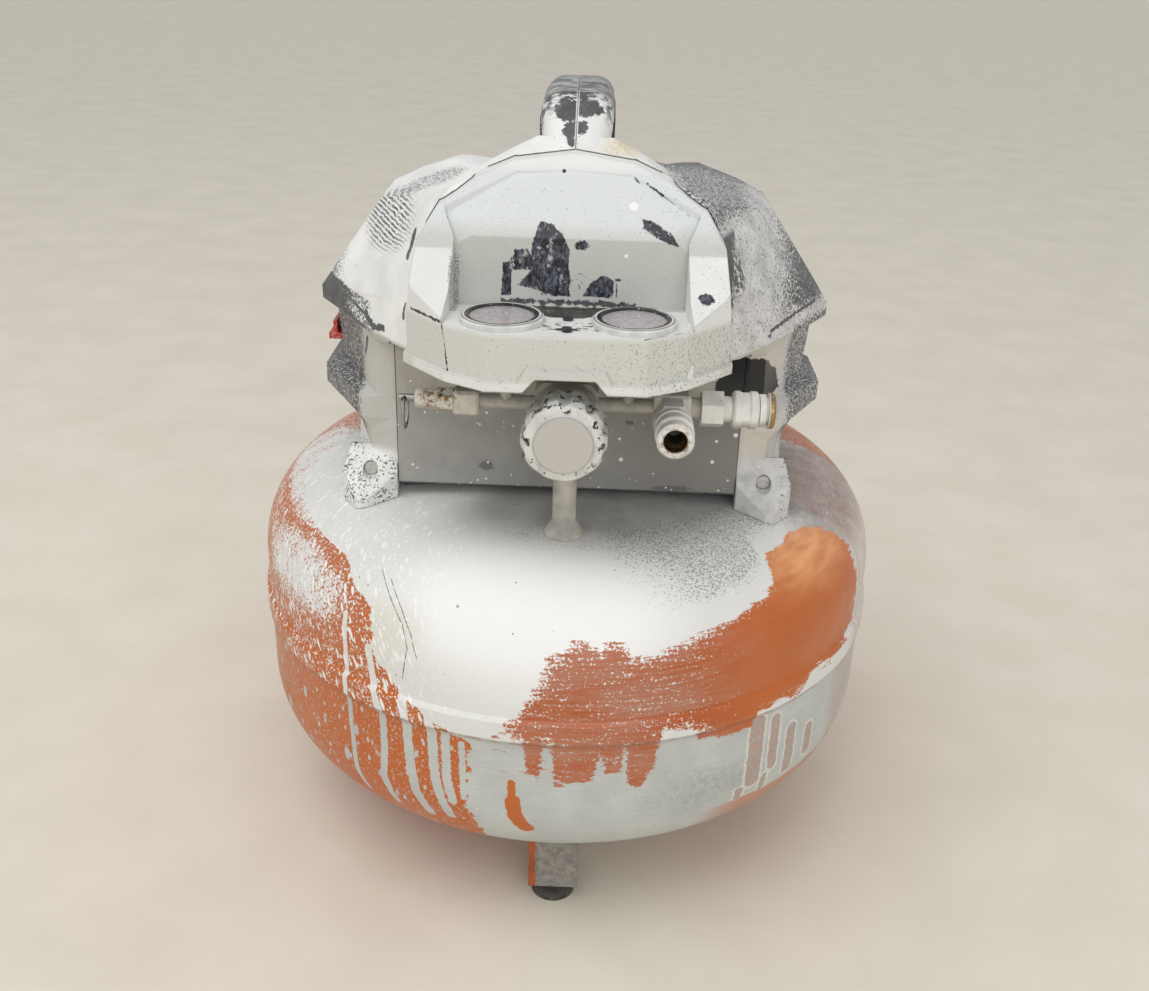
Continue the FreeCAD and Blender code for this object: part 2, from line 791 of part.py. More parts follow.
def solid_above(near_row, far_row, top):
    """Solid between a strip of facets below and a level face above."""
    near_top = [Vector(p.x, p.y, top) for p in near_row]
    far_top = [Vector(p.x, p.y, top) for p in far_row]
    faces = strip_faces(near_row, far_row) + strip_faces(near_row, near_top) + strip_faces(far_row, far_top)
    for i in (0, -1):
        faces.append(polygon_face([near_row[i], far_row[i], far_top[i], near_top[i]]))
    faces.append(polygon_face(near_top + list(reversed(far_top))))
    return closed_solid(faces)


def closed_solid(faces):
    shell = Part.makeShell(faces)
    shell.sewShape()
    solid = Part.makeSolid(shell)
    return solid if solid.Volume > 0 else solid.reversed()


def console_notch(grow):
    """Trapezoid cut into the lower front edge above the regulator."""
    half = console_notch_half + grow
    rise = console_notch_rise + grow
    slope = console_notch_slope
    return prism_y([(-half - 1, console_bottom - 1), (half + 1, console_bottom - 1),
                    (half - slope, console_bottom + rise), (slope - half, console_bottom + rise)],
                   -BIG, console_front + 30)


def console_lip_band():
    """Bead along the console's lower front edge and round its notch, a little proud of the fascia."""
    outer = inset(console_plan_outline(), -console_lip_proud)
    low = prism_z(outer, console_bottom, console_bottom + console_lip)
    over = prism_z(outer, console_bottom, console_bottom + console_notch_rise + 2 * console_lip)
    band = fuse([low, over.common(console_notch(console_lip))])
    inner = prism_z(inset(console_plan_outline(), console_wall), 0, BIG)
    rear = box(-BIG, BIG, console_lip_end, BIG, 0, BIG)
    return band.cut(inner).cut(rear)


def console():
    skin = console_envelope(0).cut(console_void(0))
    core = console_envelope(console_wall).cut(console_void(console_wall))
    drop = box(-BIG, BIG, console_front + console_wall, console_back + BIG, 0, console_bottom + console_wall + 0.1)
    inside = prism_z(inset(console_plan_outline(), console_wall), 0, console_bottom + console_wall + 0.1)
    back_open = console_envelope(console_wall)
    back_open = back_open.common(box(-BIG, BIG, pocket_back + console_wall, BIG, 0, console_top - 2 * console_wall))
    back_open.translate(Vector(0, console_wall + 3, 0))
    shell = skin.cut(core).cut(inside.common(drop)).cut(back_open)
    shell = fuse([shell, console_lip_band()]).cut(console_notch(0))
    for x in (-gauge_x, gauge_x):
        hole = cylinder(gauge_body_radius + gauge_hole_clearance, Vector(x, gauge_y, console_bottom), Z_AXIS, 60)
        shell = shell.cut(hole)
    for y in console_screw_places():
        shell = shell.cut(cylinder(console_screw_radius, Vector(0, y, console_bottom), Z_AXIS, 60))
    return largest_solid(shell)


def console_screw_places():
    return [console_screw_first, console_screw_first - console_screw_pitch]


def console_screws():
    screws = []
    for y in console_screw_places():
        head = cylinder(console_screw_head_radius, Vector(0, y, console_deck), Z_AXIS, console_screw_head)
        shank = cylinder(console_screw_radius, Vector(0, y, console_deck - console_screw_length), Z_AXIS,
                         console_screw_length)
        screws.append(fuse([head, shank]))
    return screws


# Shroud

def shroud_rings():
    """Rings of corner points from the top of the shroud to its lower edge, right half.

    Each ring runs from the front seam round the right side to the back seam.
    Heights are taken from the console's top or from the shroud's lower edge.
    """
    w = ridge_half_width
    s = skirt_y
    t = console_top
    b = shroud_bottom
    pit = handle_gap_bottom + 2
    upper = [
        ([(0, -56, pit), (20, -54, pit), (30, -50, pit), (36, -44, pit), (40, -20, pit)],
         [(40, 20, pit), (36, 44, pit), (30, 50, pit), (20, 54, pit), (0, 56, pit)]),
        ([(0, -69, t - 20), (22, -68, t - 20), (34, -62, t - 24), (46, -52, t - 26), (54, -25, t - 27)],
         [(54, 25, t - 27), (44, 60, t - 31), (34, 66, t - 31), (22, 70, t - 31), (0, 71, t - 31)]),
        ([(0, -84, t + 5), (20, -84, t + 5), (34, -83, t - 2), (52, -78, t - 13), (64, -27, t - 26)],
         [(64, 27, t - 26), (54, 76, t - 38), (38, 84, t - 38), (22, 85, t - 38), (0, 85, t - 38)]),
        ([(0, -97, t), (30, -97, t - 4), (48, -98, t - 11), (62, -94, t - 21), (74, -29, t - 26)],
         [(74, 29, t - 26), (64, 84, t - 42), (48, 97, t - 44), (26, 97, t - 44), (0, 97, t - 44)]),
        ([(0, -113, t - 19), (40, -113, t - 19), (66, -112, t - 19), (79, -88, t - 28), (98, -26, t - 34)],
         [(98, 26, t - 34), (78, 86, t - 52), (66, 111, t - 58), (40, 112, t - 58), (0, 112, t - 58)]),
        ([(0, -122, t - 41), (40, -122, t - 41), (76, -122, t - 41), (90, -92, t - 44), (115, -25, t - 42)],
         [(115, 25, t - 42), (90, 90, t - 70), (76, 120, t - 76), (40, 121, t - 76), (0, 121, t - 76)]),
        ([(0, -125, t - 79), (50, -125, t - 79), (84, -127, t - 79), (102, -100, t - 82), (w, -22, t - 98)],
         [(w, 22, t - 98), (102, 98, t - 88), (84, 122, t - 90), (50, 123, t - 90), (0, 123, t - 90)]),
        ([(0, -125, t - 103), (50, -125, t - 103), (85, -126, t - 103), (109, -97, t - 103), (w, -22, t - 106)],
         [(w, 22, t - 106), (109, 97, t - 103), (85, 123, t - 103), (50, 123, t - 103), (0, 123, t - 103)]),
    ]
    lower = [
        [(0, s, b + 87), (52, s, b + 87), (103, s, b + 87), (112, s + 2, b + 87), (w - 9, -21, b + 87)],
        [(0, s, b + 55), (52, s, b + 55), (103, s, b + 55), (113, s + 2, b + 55), (w - 12, -21, b + 55)],
        [(0, s, b + 52), (52, s, b + 52), (104, s, b + 52), (122, s + 2, b + 52), (w, -23, b + 52)],
        [(0, s, b + 40), (52, s, b + 40), (104, s, b + 40), (122, s + 2, b + 40), (w, -23, b + 40)],
        [(0, s, b + 33), (52, s, b + 33), (103, s, b + 33), (118, s + 4, b + 33), (w - 12, -27, b + 33)],
        [(0, s, b + 17), (52, s, b + 17), (103, s, b + 17), (117, s + 6, b + 17), (w - 21, -28, b + 17)],
        [(0, s, b), (52, s, b), (103, s, b), (117, s + 6, b), (w - 20, -28, b)],
    ]
    rings = [front + back for front, back in upper]
    for ring in lower:
        back = [(x, -y + (rear_y + s if i < 3 else (rear_y + s) / 2 if i == 3 else 0), z)
                for i, (x, y, z) in enumerate(ring)]
        rings.append(ring + list(reversed(back)))
    return [[Vector(*point) for point in ring] for ring in rings]


def offset_rings(rings, distance):
    """Every ring point moved inwards along the mean normal of its neighbours."""
    moved = []
    last = len(rings) - 1
    for i, ring in enumerate(rings):
        row = []
        end = len(ring) - 1
        for j, point in enumerate(ring):
            across = ring[min(j + 1, end)] - ring[max(j - 1, 0)]
            down = rings[min(i + 1, last)][j] - rings[max(i - 1, 0)][j]
            if i == 0:
                normal = Vector(0, 0, 1)
            else:
                normal = across.cross(down)
                normal.normalize()
                normal = normal * -1 if normal.dot(outward(point)) < 0 else normal
            if j == 0 or j == end:
                normal = Vector(0, normal.y, normal.z)
                normal.normalize()
            if i == last:
                normal = Vector(normal.x, normal.y, 0)
                normal.normalize()
            row.append(point - normal * distance)
        moved.append(row)
    return moved


def outward(point):
    return Vector(point.x / 2, point.y, (point.z - shroud_bottom) / 2 + 20)


def strip_faces(lower_row, upper_row):
    faces = []
    for j in range(len(lower_row) - 1):
        a, b = lower_row[j], lower_row[j + 1]
        c, d = upper_row[j + 1], upper_row[j]
        for triangle in ((a, b, c), (a, c, d)):
            if (triangle[1] - triangle[0]).cross(triangle[2] - triangle[0]).Length > 1e-6:
                faces.append(polygon_face(list(triangle)))
    return faces


def half_body(rings):
    """Closed solid on the right of the centre plane, bounded by the rings."""
    faces = []
    for upper_row, lower_row in zip(rings, rings[1:]):
        faces += strip_faces(upper_row, lower_row)
    faces.append(polygon_face(rings[0]))
    faces.append(polygon_face(rings[-1]))
    front = [ring[0] for ring in rings]
    back = [ring[-1] for ring in rings]
    faces.append(polygon_face(front + list(reversed(back))))
    return closed_solid(faces)


def corner_foot(back):
    """Foot of the shroud that stands on the tank's shoulder, right side, with a sloping face."""
    side = 1 if back else -1
    x = corner_inner_x
    y = corner_back_y
    low = shroud_bottom - 26
    plan = [(x + 2, y), (x + 30, y), (x + 33.5, y + 12), (x + 24, y + 25), (x + 18, y + 25), (x, y + 12)]
    slope = [(y, low), (y + 25, low), (y + 25, shroud_bottom - 6), (y, shroud_bottom + 21)]
    foot = prism_z([(px, side * py) for px, py in plan], low, shroud_bottom + 21)
    foot = foot.common(prism_x([(side * py, pz) for py, pz in slope], 0, BIG))
    return foot.cut(tank_solid(-corner_tank_clearance))


def handle_plan(grow):
    """Outline of the handle seen from above, narrower towards the front."""
    front = handle_front_half + grow
    full = handle_half_width + grow
    return [(-front, handle_front), (front, handle_front), (full, handle_bend), (full, handle_back),
            (-full, handle_back), (-full, handle_bend)]


def handle_top_line():
    """Crown of the handle from front to back, as (y, z)."""
    return [(handle_front, handle_top - 30), (handle_bend, handle_top - 2), (-20, handle_top),
            (25, handle_top - 3), (62, handle_top - 15), (handle_back, handle_top - 67)]


def handle_bar():
    """Carry handle with its two roots, as a rounded bar along Y, right half."""
    under = [(handle_back, handle_top - 78), (handle_gap_back + 16, handle_gap_bottom),
             (handle_gap_back, handle_under - handle_under_slope), (handle_gap_front, handle_under),
             (handle_gap_front - 14, handle_gap_bottom), (handle_front, handle_top - 36)]
    outline = handle_top_line() + under
    bar = prism_x(outline, -BIG, BIG).common(prism_z(handle_plan(0), 0, BIG))
    crown = []
    belly = []
    for edge in bar.Edges:
        size = edge.BoundBox
        if abs(size.Center.x) < 1 or size.YLength < 20:
            continue
        if size.Center.z > handle_under + 4 and size.ZMin > handle_gap_bottom:
            crown.append(edge)
        elif size.Center.z > handle_under - 6 and size.ZLength < 8:
            belly.append(edge)
    bar = bar.makeFillet(handle_round, crown)
    bar = bar.makeFillet(handle_under_round, matching_edges(bar, belly))
    return bar.common(box(0, BIG, -BIG, BIG, 0, BIG))


def matching_edges(shape, wanted):
    """Edges of a shape that lie where the wanted ones lay before it was changed."""
    return [edge for edge in shape.Edges
            if any((edge.CenterOfMass - other.CenterOfMass).Length < 1.0 for other in wanted)]


def handle_grip():
    """Textured pad let into the right flank of the handle."""
    drop = handle_round + 2
    top = [(handle_front + 12, handle_top - 34), (handle_bend, handle_top - drop - 3), (-20, handle_top - drop),
           (25, handle_top - drop - 3), (handle_gap_back + 2, handle_top - drop - 10)]
    low = [(handle_gap_back + 2, handle_top - 24), (25, handle_top - 22), (handle_gap_front, handle_top - 21),
           (handle_gap_front - 10, handle_top - 36), (handle_front + 12, handle_top - 36)]
    side = prism_x(top + low, 0, BIG)
    skin = prism_z(handle_plan(grip_proud), 0, BIG)
    core = prism_z(handle_plan(-grip_depth), 0, BIG)
    return side.common(skin).cut(core)


def shroud_openings():
    """Tools that open the right half for the console, skirt, rear cover and screws."""
    c = console_clearance
    face = prism_y(inset(console_front_outline(), -c), -BIG, 0)
    back = [(y + c, z) for y, z in console_back_outline()]
    back[0] = (back[0][0], console_bottom - c)
    side = prism_x([(-BIG, console_bottom - c)] + back + [(console_top_back + c, console_top + 5),
                                                          (-BIG, console_top + 5)], -BIG, BIG)
    skirt_hole = box(-skirt_half_width, skirt_half_width, skirt_y - 60, skirt_y + 12, 0, skirt_top)
    under = console_half_width + c
    shelf_hole = box(-under, under, skirt_y - 60, skirt_y - 6, 0, console_bottom + 1)
    rear_hole = box(-rear_cover_half_width, rear_cover_half_width, rear_y - 12, rear_y + 12, rear_cover_bottom,
                    rear_cover_top)
    tools = [face.common(side), skirt_hole, shelf_hole, rear_hole]
    for side_y in (-1, 1):
        y0, y1 = sorted((side_y * (saddle_half_y + panel_clearance), side_y * (saddle_half_y - saddle_plate - 1)))
        tools.append(box(0, corner_screw_x + ear_half_width + panel_clearance, y0, y1, 0,
                         saddle_z - saddle_plate + ear_height + panel_clearance))
        seat = Vector(corner_screw_x, side_y * corner_recess_y, corner_screw_z)
        tools.append(cylinder(corner_screw_radius, seat, Vector(0, -side_y, 0), corner_screw_length + 2))
        tools.append(cylinder(corner_screw_head_radius + 0.5, seat, Vector(0, side_y, 0), 40))
    return tools


def right_shroud():
    rings = shroud_rings()
    body = half_body(rings)
    inner = half_body(offset_rings(rings, shroud_wall))
    shell = body.cut(inner)
    shell = fuse([shell, handle_bar(), corner_foot(False), corner_foot(True)])
    shell = cut_all(shell, shroud_openings() + [handle_grip()])
    shell = shell.common(box(seam_gap, BIG, -BIG, BIG, 0, BIG))
    return largest_solid(shell)


def lever_slot():
    """Window in the left half that the switch lever sticks out of."""
    half = lever_half_length + 1
    return box(-ridge_half_width - 5, lever_pivot_x - 2, lever_y - half, lever_y + half,
               lever_z - lever_slot_below, lever_z + lever_slot_above)


def front_skirt():
    """Panel behind the air line, with a slight bend across its full width."""
    x = skirt_half_width - panel_clearance
    high = skirt_top - panel_clearance
    front = skirt_y
    back = skirt_y + shroud_wall
    bend = shroud_bottom + skirt_bend_height
    return prism_x([(front - skirt_bend, shroud_bottom), (back - skirt_bend, shroud_bottom), (back, bend),
                    (back, high), (front, high), (front, bend)], -x, x)


def rear_cover():
    """Louvred panel with the hole for the cord gland."""
    x = rear_cover_half_width - panel_clearance
    plate = box(-x, x, rear_y - shroud_wall, rear_y, rear_cover_bottom + panel_clearance,
                rear_cover_top - panel_clearance)
    mid = (rear_cover_bottom + rear_cover_top) / 2
    for i in range(vent_count):
        centre = vent_x + (i - (vent_count - 1) / 2) * vent_pitch
        slot = box(centre - vent_width / 2, centre + vent_width / 2, rear_y - 20, rear_y + 20,
                   mid - vent_height / 2, mid + vent_height / 2)
        upright = [edge for edge in slot.Edges if edge.BoundBox.YLength > 1]
        plate = plate.cut(slot.makeFillet(0.45 * vent_width, upright))
    return plate.cut(cylinder(gland_thread_radius, Vector(gland_x, 0, gland_z), Y_AXIS, BIG))


def cord_gland():
    start = rear_y - shroud_wall - 5
    points = [(gland_bore_radius, 0), (gland_radius, 0), (gland_radius, 5), (gland_thread_radius, 5),
              (gland_thread_radius, 5 + shroud_wall), (gland_radius, 5 + shroud_wall),
              (gland_radius, 9 + shroud_wall), (gland_bore_radius + 1.5, 5 + shroud_wall + gland_length),
              (gland_bore_radius, 5 + shroud_wall + gland_length)]
    return revolve_about(points, Vector(gland_x, start, gland_z), Y_AXIS)


def corner_screws():
    screws = []
    for side_x in (-1, 1):
        for side_y in (-1, 1):
            seat = Vector(side_x * corner_screw_x, side_y * corner_recess_y, corner_screw_z)
            head = cylinder(corner_screw_head_radius, seat, Vector(0, side_y, 0), corner_screw_head)
            shank = cylinder(corner_screw_radius, seat, Vector(0, -side_y, 0), corner_screw_length)
            screws.append(fuse([head, shank]))
    return screws


# Saddle bracket, mounts and pump frame

def saddle_bracket():
    """Welded bracket on the tank's crown with down-turned edges and four screw ears."""
    x, y = saddle_half_x, saddle_half_y
    plate = box(-x, x, -y, y, saddle_z, saddle_z + saddle_plate)
    parts = [plate]
    for side in (-1, 1):
        y0, y1 = sorted((side * y, side * (y - saddle_plate)))
        parts.append(box(-x, x, y0, y1, saddle_z - saddle_flange_drop, saddle_z + saddle_plate))
        for side_x in (-1, 1):
            centre = side_x * corner_screw_x
            parts.append(box(min(0, centre + ear_half_width * side_x), max(0, centre + ear_half_width * side_x),
                             y0, y1, saddle_z - saddle_plate, saddle_z + saddle_plate))
            parts.append(box(centre - ear_half_width, centre + ear_half_width, y0, y1, saddle_z - saddle_plate,
                             saddle_z - saddle_plate + ear_height))
    bracket = fuse(parts).cut(tank_solid(0))
    holes = [cylinder(check_hex_flats * 0.7, Vector(tube_x, tube_y, 0), Z_AXIS, BIG)]
    for side_x in (-1, 1):
        at = Vector(side_x * corner_screw_x, -BIG / 2, corner_screw_z)
        holes.append(cylinder(corner_screw_radius, at, Y_AXIS, BIG))
        for side_y in (-1, 1):
            holes.append(cylinder(mount_stud_radius, Vector(side_x * mount_x, side_y * mount_y, 0), Z_AXIS, BIG))
    return largest_solid(cut_all(bracket, holes))


def rubber_mounts():
    mounts = []
    for side_x in (-1, 1):
        for side_y in (-1, 1):
            at = Vector(side_x * mount_x, side_y * mount_y, saddle_z + saddle_plate)
            pad = cylinder(mount_radius, at, Z_AXIS, mount_height)
            stud = cylinder(mount_stud_radius, at - Z_AXIS * (saddle_plate + 1.2), Z_AXIS,
                            saddle_plate + 1.2 + mount_height + frame_plate + 1)
            mounts.append(fuse([pad, stud]))
    return Part.makeCompound(mounts)


def pump_frame():
    """Base plate, upright web, cylinder deck and motor cradle, as one casting."""
    top = frame_z + frame_plate
    base = box(-frame_half_x, frame_half_x, -frame_half_y, frame_half_y, frame_z, top)
    web_back = web_front + web_plate
    web = box(-web_half_x, web_half_x, web_front, web_back, top - 1, deck_bottom)
    deck = box(crank_x - head_half, crank_x + head_half, cylinder_y - head_half, web_back, deck_bottom,
               deck_bottom + deck_plate)
    gusset = box(crank_x + head_half - web_plate, crank_x + head_half, cylinder_y - head_half, web_back, top - 1,
                 deck_bottom + 1)
    cradle = box(motor_x - 22, motor_x + 22, stator_front, stator_back, top - 1, motor_z - stator_radius * 0.8)
    shelf = box(motor_x - 22, motor_x + 22, stator_back - 1, web_front + 1, top - 1, motor_z - stator_radius * 0.8)
    solid = fuse([base, web, deck, gusset, cradle, shelf])
    tools = [cylinder(stator_radius, Vector(motor_x, stator_front - 1, motor_z), Y_AXIS, stator_back - stator_front + 2),
             cylinder(bearing_radius, Vector(motor_x, 0, motor_z), Y_AXIS, BIG),
             cylinder(crank_bearing_radius, Vector(crank_x, 0, crank_z), Y_AXIS, BIG),
             cylinder(cylinder_bore_radius + cylinder_wall, Vector(crank_x, cylinder_y, deck_bottom - 1), Z_AXIS, 60),
             cylinder(check_hex_flats * 0.7, Vector(tube_x, tube_y, 0), Z_AXIS, BIG)]
    for side_x in (-1, 1):
        for side_y in (-1, 1):
            tools.append(cylinder(mount_stud_radius, Vector(side_x * mount_x, side_y * mount_y, 0), Z_AXIS, BIG))
            tools.append(cylinder(head_screw_radius, head_screw_spot(side_x, side_y, deck_bottom - 1), Z_AXIS, 20))
    return largest_solid(cut_all(solid, tools))


def head_screw_spot(side_x, side_y, z):
    return Vector(crank_x + side_x * head_screw_offset, cylinder_y + side_y * head_screw_offset, z)


# Motor

def motor_parts():
    """Stator, end bell, bearings, rotor with its shaft and pulley, and fan."""
    axis = Vector(motor_x, 0, motor_z)
    stator = tube(stator_radius, stator_bore_radius, axis + Y_AXIS * stator_front, Y_AXIS, stator_back - stator_front)
    bell_y = stator_front - end_bell_gap - end_bell_thickness
    bell_disc = cylinder(stator_radius, axis + Y_AXIS * bell_y, Y_AXIS, end_bell_thickness)
    parts = [bell_disc]
    for i in range(4):
        angle = math.radians(45 + 90 * i)
        spot = axis + Vector((stator_radius - 6) * math.cos(angle), bell_y, (stator_radius - 6) * math.sin(angle))
        parts.append(cylinder(3.5, spot, Y_AXIS, end_bell_gap + end_bell_thickness))
    bell = fuse(parts).cut(cylinder(bearing_radius, axis + Y_AXIS * (bell_y - 1), Y_AXIS, end_bell_thickness + 2))
    shaft_hole = shaft_radius + running_clearance
    front_bearing = tube(bearing_radius, shaft_hole, axis + Y_AXIS * bell_y, Y_AXIS, end_bell_thickness)
    back_bearing = tube(bearing_radius, shaft_hole, axis + Y_AXIS * web_front, Y_AXIS, web_plate)
    fan_back = bell_y - 1.5
    fan_front = fan_back - fan_thickness
    pulley_front = belt_front - 1.5
    shaft_end = belt_front + belt_width + 2
    core = cylinder(stator_bore_radius - air_gap, axis + Y_AXIS * (stator_front + rotor_margin), Y_AXIS,
                    stator_back - stator_front - 2 * rotor_margin)
    shaft = cylinder(shaft_radius, axis + Y_AXIS * fan_front, Y_AXIS, shaft_end - fan_front)
    rotor = fuse([core, shaft])
    hub = tube(fan_hub_radius, shaft_radius, axis + Y_AXIS * fan_front, Y_AXIS, fan_thickness)
    blades = [hub]
    for i in range(fan_blades):
        blade = box(fan_hub_radius - 1, fan_radius, fan_front + 1, fan_back - 1, -1, 1)
        blade.rotate(Vector(0, (fan_front + fan_back) / 2, 0), X_AXIS, 25)
        blade.rotate(Vector(0, 0, 0), Y_AXIS, 360.0 * i / fan_blades)
        blade.translate(axis)
        blades.append(blade)
    fan = fuse(blades).cut(cylinder(shaft_radius, axis + Y_AXIS * (fan_front - 1), Y_AXIS, fan_thickness + 2))
    pulley = revolve_about([(shaft_radius, 0), (pulley_radius + 2, 0), (pulley_radius + 2, 1), (pulley_radius, 1),
                            (pulley_radius, belt_width + 2), (pulley_radius + 2, belt_width + 2),
                            (pulley_radius + 2, belt_width + 3), (shaft_radius, belt_width + 3)],
                           axis + Y_AXIS * pulley_front, Y_AXIS)
    return stator, bell, [front_bearing, back_bearing], fuse([rotor, pulley]), fan


def drive_belt():
    """Flat ribbed belt round the motor pulley and the crank wheel."""
    outer = belt_loop(belt_clearance + belt_thickness)
    inner = belt_loop(belt_clearance)
    return outer.cut(inner)


def belt_loop(grow):
    """Solid inside a loop that runs round both wheels, grown by a distance."""
    r1 = pulley_radius + grow
    r2 = wheel_radius + grow
    dx = crank_x - motor_x
    dz = crank_z - motor_z
    span = math.hypot(dx, dz)
    along = math.atan2(dz, dx)
    lean = math.acos((r1 - r2) / span)
    y0 = belt_front
    points = []
    for sign in (1, -1):
        for centre_x, centre_z, r in ((motor_x, motor_z, r1), (crank_x, crank_z, r2)):
            a = along + sign * lean
            points.append(Vector(centre_x + r * math.cos(a), y0, centre_z + r * math.sin(a)))
    body = polygon_face([points[0], points[1], points[3], points[2]]).extrude(Y_AXIS * belt_width)
    ends = [cylinder(r1, Vector(motor_x, y0, motor_z), Y_AXIS, belt_width),
            cylinder(r2, Vector(crank_x, y0, crank_z), Y_AXIS, belt_width)]
    return fuse([body] + ends)


# Crank, rod, piston and cylinder

def crank_parts():
    """Crank wheel, crankshaft with its pin, and the bearing in the web."""
    axis = Vector(crank_x, 0, crank_z)
    wheel_front = belt_front - 1.5
    wheel_back = belt_front + belt_width + 1.5
    disc = cylinder(crank_disc_radius, axis + Y_AXIS * crank_disc_front, Y_AXIS, crank_disc_thickness)
    shaft = cylinder(crank_shaft_radius, axis + Y_AXIS * crank_disc_front, Y_AXIS, wheel_back - crank_disc_front)
    pin_front = cylinder_y + rod_thickness / 2 + open_pivot_gap
    pin = cylinder(crank_pin_radius, axis + Vector(0, pin_front, -crank_throw), Y_AXIS, crank_disc_front - pin_front)
    crankshaft = fuse([disc, shaft, pin])
    hub = tube(wheel_hub_radius, crank_shaft_radius, axis + Y_AXIS * wheel_front, Y_AXIS, wheel_back - wheel_front)
    rim = tube(wheel_radius, wheel_radius - wheel_rim, axis + Y_AXIS * wheel_front, Y_AXIS, wheel_back - wheel_front)
    parts = [hub, rim]
    for i in range(wheel_spokes):
        spoke = box(wheel_hub_radius - 1, wheel_radius - wheel_rim + 1, wheel_front + 3, wheel_back - 3, -3, 3)
        spoke.rotate(Vector(0, 0, 0), Y_AXIS, 360.0 * i / wheel_spokes)
        spoke.translate(axis)
        parts.append(spoke)
    wheel = fuse(parts)
    bearing = tube(crank_bearing_radius, crank_shaft_radius + running_clearance, axis + Y_AXIS * web_front, Y_AXIS,
                   web_plate)
    return crankshaft, wheel, bearing


def rod_and_piston():
    """Rod with its big end, and the piston disc it carries, at bottom dead centre."""
    eye = Vector(crank_x, cylinder_y - rod_thickness / 2, crank_z - crank_throw)
    piston_z = eye.z + rod_length
    ring = cylinder(rod_eye_radius, eye, Y_AXIS, rod_thickness)
    bar = box(crank_x - rod_width / 2, crank_x + rod_width / 2, eye.y, eye.y + rod_thickness, eye.z,
              piston_z - piston_height / 2)
    rod = fuse([ring, bar]).cut(cylinder(crank_pin_radius + running_clearance, eye, Y_AXIS, rod_thickness))
    piston = cylinder(piston_radius, Vector(crank_x, cylinder_y, piston_z - piston_height / 2), Z_AXIS, piston_height)
    groove = tube(piston_radius + 1, piston_radius - 1.2,
                  Vector(crank_x, cylinder_y, piston_z + piston_height / 2 - 4), Z_AXIS, 2)
    ring_seal = tube(piston_radius + 0.12, piston_radius - 1.2,
                     Vector(crank_x, cylinder_y, piston_z + piston_height / 2 - 4), Z_AXIS, 2)
    return rod, piston.cut(groove), ring_seal


def cylinder_parts():
    """Sleeve, valve plate, reeds, head, head screws and intake filter."""
    centre = Vector(crank_x, cylinder_y, 0)
    sleeve = tube(cylinder_bore_radius + cylinder_wall, cylinder_bore_radius, centre + Z_AXIS * deck_bottom, Z_AXIS,
                  cylinder_top - deck_bottom)
    plate = box(crank_x - head_half, crank_x + head_half, cylinder_y - head_half, cylinder_y + head_half,
                cylinder_top, cylinder_top + valve_plate_thickness)
    plate_top = cylinder_top + valve_plate_thickness
    for side in (-1, 1):
        plate = plate.cut(cylinder(port_radius, centre + Vector(side * reed_length / 2, 0, cylinder_top - 1), Z_AXIS, 20))
    reed_low = box(crank_x - reed_length / 2 - 4, crank_x - reed_length / 2 + 5, cylinder_y - reed_width / 2,
                   cylinder_y + reed_width / 2, cylinder_top - reed_thickness, cylinder_top)
    reed_high = box(crank_x + reed_length / 2 - 5, crank_x + reed_length / 2 + 4, cylinder_y - reed_width / 2,
                    cylinder_y + reed_width / 2, plate_top, plate_top + reed_thickness)
    head = box(crank_x - head_half, crank_x + head_half, cylinder_y - head_half, cylinder_y + head_half, plate_top,
               plate_top + head_height)
    for side in (-1, 1):
        x0 = crank_x + (-cylinder_bore_radius + 2 if side < 0 else head_wall / 2)
        x1 = crank_x + (-head_wall / 2 if side < 0 else cylinder_bore_radius - 2)
        head = head.cut(box(x0, x1, cylinder_y - 16, cylinder_y + 16, plate_top, plate_top + head_cavity))
    for i in range(5):
        x = crank_x - head_half + head_half * (2 * i + 2) / 6
        head = head.cut(box(x - 1.5, x + 1.5, cylinder_y - head_half - 1, cylinder_y + head_half + 1,
                            plate_top + head_cavity + 3, plate_top + head_height + 1))
    port = Vector(crank_x - head_half - 1, tube_y, plate_top + head_cavity / 2)
    head = head.cut(cylinder(tube_bore_radius, port, X_AXIS, head_half - cylinder_bore_radius + 8))
    intake = Vector(crank_x + 12, cylinder_y - head_half - 1, plate_top + head_cavity / 2)
    head = head.cut(cylinder(4, intake, Y_AXIS, head_half))
    screws = []
    tools = []
    for side_x in (-1, 1):
        for side_y in (-1, 1):
            low = head_screw_spot(side_x, side_y, deck_bottom)
            seat_z = plate_top + head_height - head_screw_head
            tools.append(cylinder(head_screw_radius, low, Z_AXIS, 200))
            tools.append(cylinder(head_screw_head_radius + 0.3, Vector(low.x, low.y, seat_z), Z_AXIS, 20))
            shank = cylinder(head_screw_radius, low, Z_AXIS, seat_z - deck_bottom)
            head_top = cylinder(head_screw_head_radius, Vector(low.x, low.y, seat_z), Z_AXIS, head_screw_head)
            screws.append(fuse([shank, head_top]))
    plate = cut_all(plate, tools)
    head = cut_all(head, tools)
    neck = Vector(crank_x + 12, cylinder_y - head_half, plate_top + head_cavity / 2)
    intake_filter = fuse([cylinder(filter_radius - 4, neck, -Y_AXIS, 4),
                          cylinder(filter_radius, neck - Y_AXIS * 4, -Y_AXIS, filter_length)])
    return sleeve, plate, [reed_low, reed_high], head, Part.makeCompound(screws), intake_filter


# Delivery tube, check valve, pressure switch and drain

